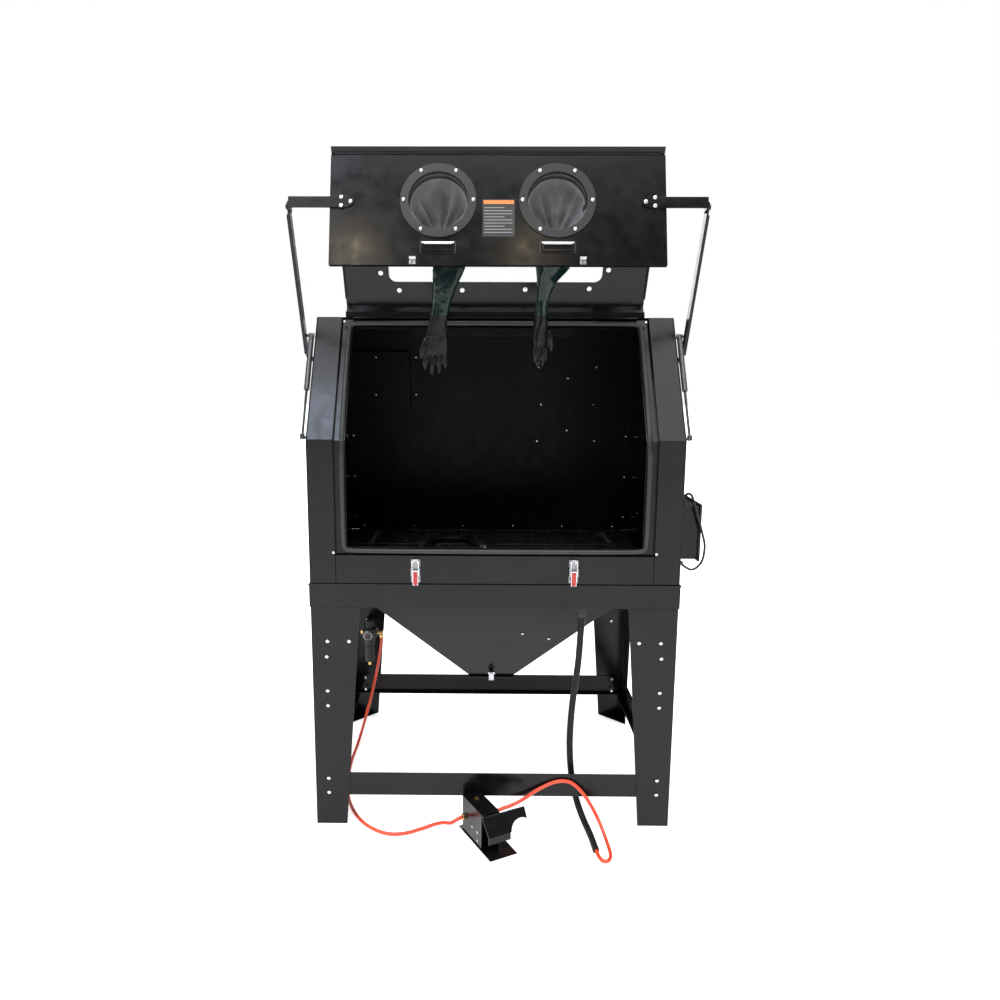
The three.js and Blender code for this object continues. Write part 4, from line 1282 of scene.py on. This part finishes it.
    def _keepers(self) -> None:
        """Screw the latch keepers to the lower edge of the glove panel."""
        pieces = []
        for side in Side:
            x = side.value * 0.255
            hook = block("keeper", (x - 0.010, -0.347, LID_SKIN + 0.0002),
                         (x + 0.010, -0.325, LID_SKIN + 0.0020), CHROME, 0.0005, GLOVE_FACE)
            lip = block("keeper_lip", (x - 0.010, -0.330, LID_SKIN + 0.0016),
                        (x + 0.010, -0.326, LID_SKIN + 0.0082), CHROME, 0.0008, GLOVE_FACE)
            pieces += [hook, lip]
            for dx in (-0.006, 0.006):
                pieces.append(drum("keeper_rivet", 0.0019, 0.0018, 0.0030, ZINC,
                                   (x + dx, -0.341, LID_SKIN), Axis.Z, 12, 0.0003, GLOVE_FACE))
        lay_on(merge("latch_keepers", pieces), "glove_lid", "chrome")

    def _hinges(self) -> None:
        """Run the piano hinge between the panels and the hinge band at the roof."""
        knuckles = []
        pitch = 0.030
        count = 33
        for i in range(count):
            x = (i - count // 2) * pitch
            knuckles.append(Matrix.Translation((x, 0, 0)))
        model = drum("knuckle", 0.0042, -0.0145, 0.0145, GLOSS_COAT, (0, 0, 0), Axis.X, 14, 0.0005)
        upper = copies("fold_hinge_knuckles", model, [GLOVE_FACE @ m for m in knuckles])
        lay_on(upper, "glove_lid", "black_coat")
        model = drum("knuckle", 0.0042, -0.0145, 0.0145, GLOSS_COAT, (0, 0, 0), Axis.X, 14, 0.0005)
        pin = Matrix.Translation(at(0, 270, 1715) + Vector((0, 0, -0.0005)))
        band = copies("roof_hinge", model, [pin @ m for m in knuckles])
        leaf = block("roof_hinge_leaf", at(-506, 262, 1708), at(506, 266, 1729), GLOSS_COAT, 0.0006)
        lay_on(merge("roof_hinge", [band, leaf]), "cabinet", "black_coat")

    def _label(self) -> None:
        """Stick a plain plate with an orange band between the ports."""
        low = LID_SKIN + 0.0001
        plate = block("label_plate", (-0.046, -0.262, low), (0.051, -0.146, low + 0.0006),
                      LABEL_DARK, 0.0002, GLOVE_FACE)
        band = block("label_band", (-0.043, -0.160, low + 0.0004), (0.048, -0.149, low + 0.0009),
                     LABEL_ORANGE, 0.0001, GLOVE_FACE)
        rows = []
        for i in range(9):
            y = -0.172 - 0.0096 * i
            end = 0.044 if i % 3 else 0.020
            rows.append(block("label_rule", (-0.041, y - 0.0008, low + 0.0004),
                              (end, y + 0.0008, low + 0.0008), LABEL_GREY, 0.0001, GLOVE_FACE))
        lay_on(merge("blank_label", [plate, band, *rows]), "glove_lid", "black_plastic")

    def _brackets(self) -> None:
        """Dress the arm brackets and bolt them to the glove panel."""
        head = fastener(Head.BUTTON, 0.0062, 0.003, ZINC)
        places = []
        for side in Side:
            dressed(f"arm_bracket_{side.word}", "glove_lid", GLOSS_COAT, "black_coat", 0.0012)
            for x, y in ((0.471, -0.143), (0.471, -0.169), (0.443, -0.156)):
                spot = GLOVE_FACE @ Vector((side.value * x, y, LID_SKIN + 0.005))
                places.append(facing(spot, GLOVE_FACE.to_3x3() @ Vector((0, 0, 1))))
        lay_on(copies("bracket_bolts", head, places), "glove_lid", "chrome")

    def build(self) -> None:
        """Build the lid."""
        self._panels()
        self._nuts()
        self._label()
        self._keepers()
        self._hinges()
        self._brackets()
        for side in Side:
            self._port(side)
            self._cuff(side)
            self._handle(side)


# ---------------------------------------------------------------- gloves
@dataclass
class Gloves:
    """Long rubber gloves that hang from the ports."""

    voxel: float = 0.0020
    wrinkle: float = 0.0016

    FINGERS = ((-0.0285, -0.434, 0.060, 5), (-0.0096, -0.440, 0.070, 1),
               (0.0096, -0.440, 0.066, -2), (0.028, -0.436, 0.054, -5))
    ARM = {
        Side.LEFT: ((0.010, -0.072, 0.030, 0.022), (0.022, -0.092, 0.050, 0.030),
                    (0.030, -0.130, 0.056, 0.032), (0.028, -0.180, 0.050, 0.032),
                    (0.018, -0.235, 0.038, 0.029), (0.008, -0.290, 0.029, 0.025),
                    (-0.004, -0.346, 0.029, 0.020), (-0.010, -0.386, 0.036, 0.017),
                    (-0.012, -0.424, 0.041, 0.014), (-0.012, -0.446, 0.037, 0.012)),
        Side.RIGHT: ((-0.002, -0.072, 0.030, 0.022), (-0.002, -0.092, 0.048, 0.036),
                     (-0.003, -0.130, 0.056, 0.044), (-0.006, -0.180, 0.060, 0.050),
                     (-0.026, -0.225, 0.034, 0.027), (-0.038, -0.280, 0.020, 0.017),
                     (-0.041, -0.335, 0.026, 0.021), (-0.041, -0.374, 0.035, 0.018),
                     (-0.040, -0.406, 0.040, 0.015), (-0.039, -0.424, 0.036, 0.012)),
    }
    TURN = {Side.LEFT: 14, Side.RIGHT: 55}

    def _arm(self, side: Side) -> bpy.types.Object:
        """Loft the sleeve and the palm from level rings, with folds in the sleeve.

        Args:
            side: the side that the glove hangs on.

        Returns:
            The lofted sleeve and palm.
        """
        clear_bench()
        bpy.ops.mesh.primitive_circle_add(vertices=48, radius=1, fill_type="NGON")
        piece = settle("arm", SLEEVE_GREEN, 60)
        base = [v.co.copy() for v in piece.data.vertices]
        count = len(base)
        pick(piece)
        bpy.ops.object.mode_set(mode="EDIT")
        bpy.ops.mesh.select_mode(type="VERT")
        bpy.ops.mesh.select_all(action="SELECT")
        for _ in self.ARM[side][1:]:
            bpy.ops.mesh.extrude_region_move()
        bpy.ops.object.mode_set(mode="OBJECT")
        way = math.radians(self.TURN[side])
        for row, (x, z, rx, ry) in enumerate(self.ARM[side]):
            for k in range(count):
                spot = base[k]
                turn = math.atan2(spot.y, spot.x)
                fold = 1 + (0.08 if row < 6 else 0.0) * math.sin(3 * turn + row * 0.9)
                across, along = spot.x * rx * fold, spot.y * ry * fold
                back = 0.036 * max(0.0, 1 + (z + 0.072) / 0.130)
                piece.data.vertices[row * count + k].co = Vector(
                    (x + across * math.cos(way) - along * math.sin(way),
                     back + across * math.sin(way) + along * math.cos(way), z))
        return piece

    def _hand(self, side: Side) -> list[bpy.types.Object]:
        """Make the fingers and the thumb as long rounded drops below the palm.

        Args:
            side: the side that the glove hangs on.

        Returns:
            The five digits.
        """
        made = []
        wrist = self.ARM[side][-1]
        lift = wrist[1] + 0.446
        digits = [(x, z, long, lean, 0.0098, 0.003 * (i % 2)) for i, (x, z, long, lean)
                  in enumerate(self.FINGERS)]
        digits.append((0.035 * side.value, -0.402, 0.058, -13 * side.value, 0.0115, -0.010))
        spin = Matrix.Rotation(math.radians(self.TURN[side]), 4, "Z")
        for x, z, long, lean, radius, y in digits:
            clear_bench()
            bpy.ops.mesh.primitive_uv_sphere_add(segments=20, ring_count=14, radius=1,
                                                 location=(0, 0, -long / 2 + 0.006),
                                                 scale=(radius, radius * 0.92, long / 2 + 0.006))
            digit = settle("digit", SLEEVE_GREEN)
            digit.data.transform(Matrix.Translation((wrist[0], 0, lift)) @ spin
                                 @ Matrix.Translation((x, y, z))
                                 @ Matrix.Rotation(math.radians(lean), 4, "Y"))
            made.append(digit)
        return made

    def _one(self, side: Side) -> None:
        """Fuse, smooth and wrinkle one glove, then hang it under its port.

        Args:
            side: the side that the glove hangs on.
        """
        glove = merge(f"rubber_glove_{side.word}", [self._arm(side), *self._hand(side)])
        pick(glove)
        fuse = glove.modifiers.new("fuse", "REMESH")
        fuse.mode = "VOXEL"
        fuse.voxel_size = self.voxel
        bpy.ops.object.modifier_apply(modifier="fuse")
        calm = glove.modifiers.new("calm", "SMOOTH")
        calm.factor = 0.5
        calm.iterations = 2
        bpy.ops.object.modifier_apply(modifier="calm")
        folds = bpy.data.textures.new(f"folds_{side.word}", "CLOUDS")
        folds.noise_scale = 0.035
        crease = glove.modifiers.new("crease", "DISPLACE")
        crease.texture = folds
        crease.strength = 2.6 * self.wrinkle
        crease.mid_level = 0.5
        bpy.ops.object.modifier_apply(modifier="crease")
        glove.data.materials.append(HAND_RUBBER.make())
        for face in glove.data.polygons:
            face.material_index = 1 if face.center.z < -0.325 else 0
        bpy.ops.object.shade_smooth()
        port = GLOVE_FACE @ Vector((side.value * 0.179, -0.150, -0.034))
        glove.data.transform(Matrix.Translation(port))
        lay_on(glove, f"glove_{side.word}", "glove_rubber", f"glove_{side.word}")

    def build(self) -> None:
        """Build both gloves."""
        for side in Side:
            self._one(side)


# ---------------------------------------------------------------- lift arms and struts
@dataclass
class Linkage:
    """Lift arms, gas struts and their pivot nuts."""

    swing: float = 115.8
    reach: float = 0.5033

    def _rib(self, side: Side) -> bpy.types.Object:
        """Stiffen an arm with a rib along its outer face.

        Args:
            side: the side that the arm is on.

        Returns:
            The rib.
        """
        place = (Matrix.Translation(at(0, 250, 1570))
                 @ Matrix.Rotation(math.radians(self.swing), 4, "X"))
        near, far = sorted((side.value * 0.6375, side.value * 0.6435))
        return block(f"arm_rib_{side.word}", (near, 0.022, -0.011),
                     (far, self.reach - 0.022, 0.011), GLOSS_COAT, 0.0012, place)

    def build(self) -> None:
        """Dress the arms and struts and cap their pivots."""
        for side in Side:
            word = side.word
            dressed(f"lift_arm_{word}", f"arm_{word}", GLOSS_COAT, "black_coat", 0.0012, 40)
            dressed(f"strut_cylinder_{word}", f"cylinder_{word}", GREY_TUBE, "strut_grey", 0.0014, 40)
            dressed(f"strut_rod_{word}", f"rod_{word}", DARK_STEEL, "chrome", 0.0006, 40)
            low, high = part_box(f"lift_arm_{word}")
            outer = high.x if side is Side.RIGHT else low.x
            x = MIDDLE_X + side.value * 0.638
            pivot = Vector((x, at(0, 250, 1570).y, 1.570))
            head = fastener(Head.HEX, 0.0068, 0.004, ZINC)
            nut = copies(f"pivot_nut_{word}", head, [facing(pivot, (side.value, 0, 0))])
            lay_on(nut, f"arm_{word}", "chrome")
            lay_on(self._rib(side), f"arm_{word}", "black_coat")
            log.info("%s arm reaches %.3f", word, outer)


# ---------------------------------------------------------------- services
@dataclass
class Services:
    """Control box, rocker switch, filter regulator, gauge and knob."""

    gauge: float = 0.020

    def _control(self) -> None:
        """Dress the control box, screw its cover and gland its lead."""
        dressed("control_box", "cabinet", GLOSS_COAT, "black_coat", 0.0016)
        dressed("power_switch", "rocker", BLACK_PLASTIC, "black_plastic", 0.001, 40)
        low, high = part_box("control_box")
        head = fastener(Head.BUTTON, 0.004, 0.002, ZINC)
        corners = [facing((high.x, y, z), (1, 0, 0))
                   for y in (low.y + 0.014, high.y - 0.014) for z in (low.z + 0.014, high.z - 0.014)]
        lay_on(copies("control_cover_screws", head, corners), "cabinet", "chrome")
        nut = drum("lead_gland_nut", 0.0105, 0.0004, 0.012, BLACK_PLASTIC, at(600.3, 76, 906),
                   Axis.X, 12, 0.0012)
        cone = drum("lead_gland_cone", 0.0075, 0.011, 0.026, BLACK_PLASTIC, at(600.3, 76, 906),
                    Axis.X, 20, 0.0025)
        lay_on(merge("lead_gland", [nut, cone]), "cabinet", "black_plastic")

    def _regulator(self) -> None:
        """Build the filter regulator with its ribbed bowl and brass elbow."""
        core = at(-512, 741, 0)
        body = block("body", core + Vector((-0.026, -0.025, 0.412)),
                     core + Vector((0.034, 0.025, 0.446)), BLACK_PLASTIC, 0.004)
        neck = drum("neck", 0.022, 0.3745, 0.414, BLACK_PLASTIC, (core.x, core.y, 0), Axis.Z, 40, 0.003)
        bowl = drum("bowl", 0.0195, 0.300, 0.376, BLACK_PLASTIC, (core.x, core.y, 0), Axis.Z, 40, 0.006)
        ribs = []
        for i in range(10):
            turn = math.radians(36 * i)
            rib = block("rib", (0.0185, -0.0018, 0.306), (0.0208, 0.0018, 0.370), BLACK_PLASTIC, 0.0006,
                        Matrix.Translation((core.x, core.y, 0)) @ Matrix.Rotation(turn, 4, "Z"))
            ribs.append(rib)
        drain = drum("drain", 0.006, 0.2845, 0.301, BRASS, (core.x, core.y, 0), Axis.Z, 16, 0.001)
        outlet = drum("outlet", 0.0088, 0.030, 0.0585, BRASS, (core.x, core.y, 0.429), Axis.X, 12,
                      0.0012)
        plug = drum("port_plug", 0.009, -0.036, -0.025, BRASS, (core.x, core.y, 0.429), Axis.X, 6,
                    0.001)
        bracket = block("bracket", at(-540, 762, 408), at(-530, 880.4, 450), DARK_STEEL, 0.001)
        lay_on(merge("filter_regulator_body",
                     [body, neck, bowl, *ribs, drain, outlet, plug, bracket]),
               "cabinet", "dark_steel", "filter_regulator")
        nut = drum("supply_nut", 0.0085, 0.4075, 0.4195, BRASS, at(-461, 741, 0), Axis.Z, 6, 0.0008)
        lay_on(nut, "cabinet", "dark_steel")

    def _gauge(self) -> None:
        """Build the gauge: case, dark dial with plain ticks, and needle."""
        centre = at(-512, 702, 429)
        case = drum("case", self.gauge, -0.0083, 0.0085, ROD_STEEL, centre, Axis.Y, 40, 0.0012)
        dial = drum("dial", self.gauge * 0.84, -0.0088, -0.0070, LABEL_DARK, centre, Axis.Y, 40, 0.0002)
        stem = drum("stem", 0.006, 0.008, 0.0134, BRASS, centre, Axis.Y, 12, 0.0006)
        marks = []
        for i in range(9):
            turn = math.radians(-120 + 30 * i)
            place = Matrix.Translation(centre) @ Matrix.Rotation(turn, 4, "Y")
            marks.append(block("tick", (-0.0006, -0.0091, 0.0115), (0.0006, -0.0086, 0.0152),
                               DIAL_WHITE, 0.0001, place))
        place = Matrix.Translation(centre) @ Matrix.Rotation(math.radians(-70), 4, "Y")
        needle = block("needle", (-0.0006, -0.0093, -0.003), (0.0006, -0.0088, 0.0125), RED_GRIP,
                       0.0001, place)
        lay_on(merge("air_gauge", [case, dial, stem, *marks, needle]), "cabinet", "dark_steel",
               "pressure_gauge")

    def _knob(self) -> None:
        """Turn the regulator's knob with grip flutes."""
        core = at(-512, 741, 0)
        knob = drum("knob", 0.0155, 0.4468, 0.480, BLACK_PLASTIC, (core.x, core.y, 0), Axis.Z, 48,
                    0.002)
        flutes = []
        for i in range(18):
            turn = Matrix.Rotation(math.radians(20 * i), 4, "Z")
            flutes.append(block("flute", (0.0145, -0.0013, 0.450), (0.0168, 0.0013, 0.476),
                                BLACK_PLASTIC, 0.0006,
                                Matrix.Translation((core.x, core.y, 0)) @ turn))
        lay_on(merge("pressure_knob", [knob, *flutes]), "knob", "black_plastic", "regulator_knob")

    def build(self) -> None:
        """Build the services."""
        self._control()
        self._regulator()
        self._gauge()
        self._knob()


# ---------------------------------------------------------------- foot pedal
@dataclass
class Pedal:
    """Foot pedal with its air valve."""

    turn: float = 27.7
    left: float = -0.046
    right: float = 0.018

    def _place(self) -> Matrix:
        """The pedal's own axes in the frame."""
        return Matrix.Translation(at(-18, -87, 0)) @ Matrix.Rotation(math.radians(self.turn), 4, "Z")

    def build(self) -> None:
        """Build the pedal's housing, valve, fittings and treadle."""
        place = self._place()
        dressed("pedal_base", "cabinet", GLOSS_COAT, "black_coat", 0.001, 35)
        brass = fastener(Head.BUTTON, 0.009, 0.003, BRASS)
        top = [facing(place @ Vector((-0.014, 0.050, 0.1251)), (0, 0, 1))]
        lay_on(copies("valve_cap", brass, top), "cabinet", "chrome")
        out = place.to_3x3()
        screws = fastener(Head.BUTTON, 0.0042, 0.002, ZINC)
        spots = [(self.left, -0.020, 0.050, -1), (self.left, 0.018, 0.050, -1),
                 (self.left, -0.020, 0.020, -1), (self.right, -0.020, 0.050, 1),
                 (self.right, 0.060, 0.040, 1)]
        lay_on(copies("cheek_screws", screws,
                      [facing(place @ Vector((x, y, z)), out @ Vector((way, 0, 0)))
                       for x, y, z, way in spots]), "cabinet", "chrome")
        left = drum("left_fitting", 0.0105, -0.0568, -0.0455, BRASS, (0, 0.072, 0.058), Axis.X, 6,
                    0.0008, place)
        right = drum("right_fitting", 0.0105, 0.0175, 0.0305, BRASS, (0, 0.022, 0.078), Axis.X, 6,
                     0.0008, place)
        lay_on(merge("hose_fittings", [left, right]), "cabinet", "chrome")
        dressed("pedal_treadle", "treadle", GLOSS_COAT, "black_coat", 0.001, 35)


def build_rest() -> None:
    """Report every plain solid that still shows, and dress it in the gloss coat."""
    for node, piece in ((n, bpy.data.objects[n]) for n in frame["nodes"]):
        if not piece.hide_render:
            log.warning("%s still shows its plain solid", node)
            piece.data.materials.clear()
            piece.data.materials.append(GLOSS_COAT.make())


def main() -> None:
    """Build everything in order."""
    logging.basicConfig(level=logging.INFO, format="%(name)s: %(message)s")
    Studio().build()
    Hoses().build()
    for part in (Shell(), Base(), Latches(), Lid(), Gloves(), Linkage(), Services(), Pedal()):
        part.build()
        log.info("%s built", type(part).__name__)
    build_rest()


if __name__ == "__main__":
    main()
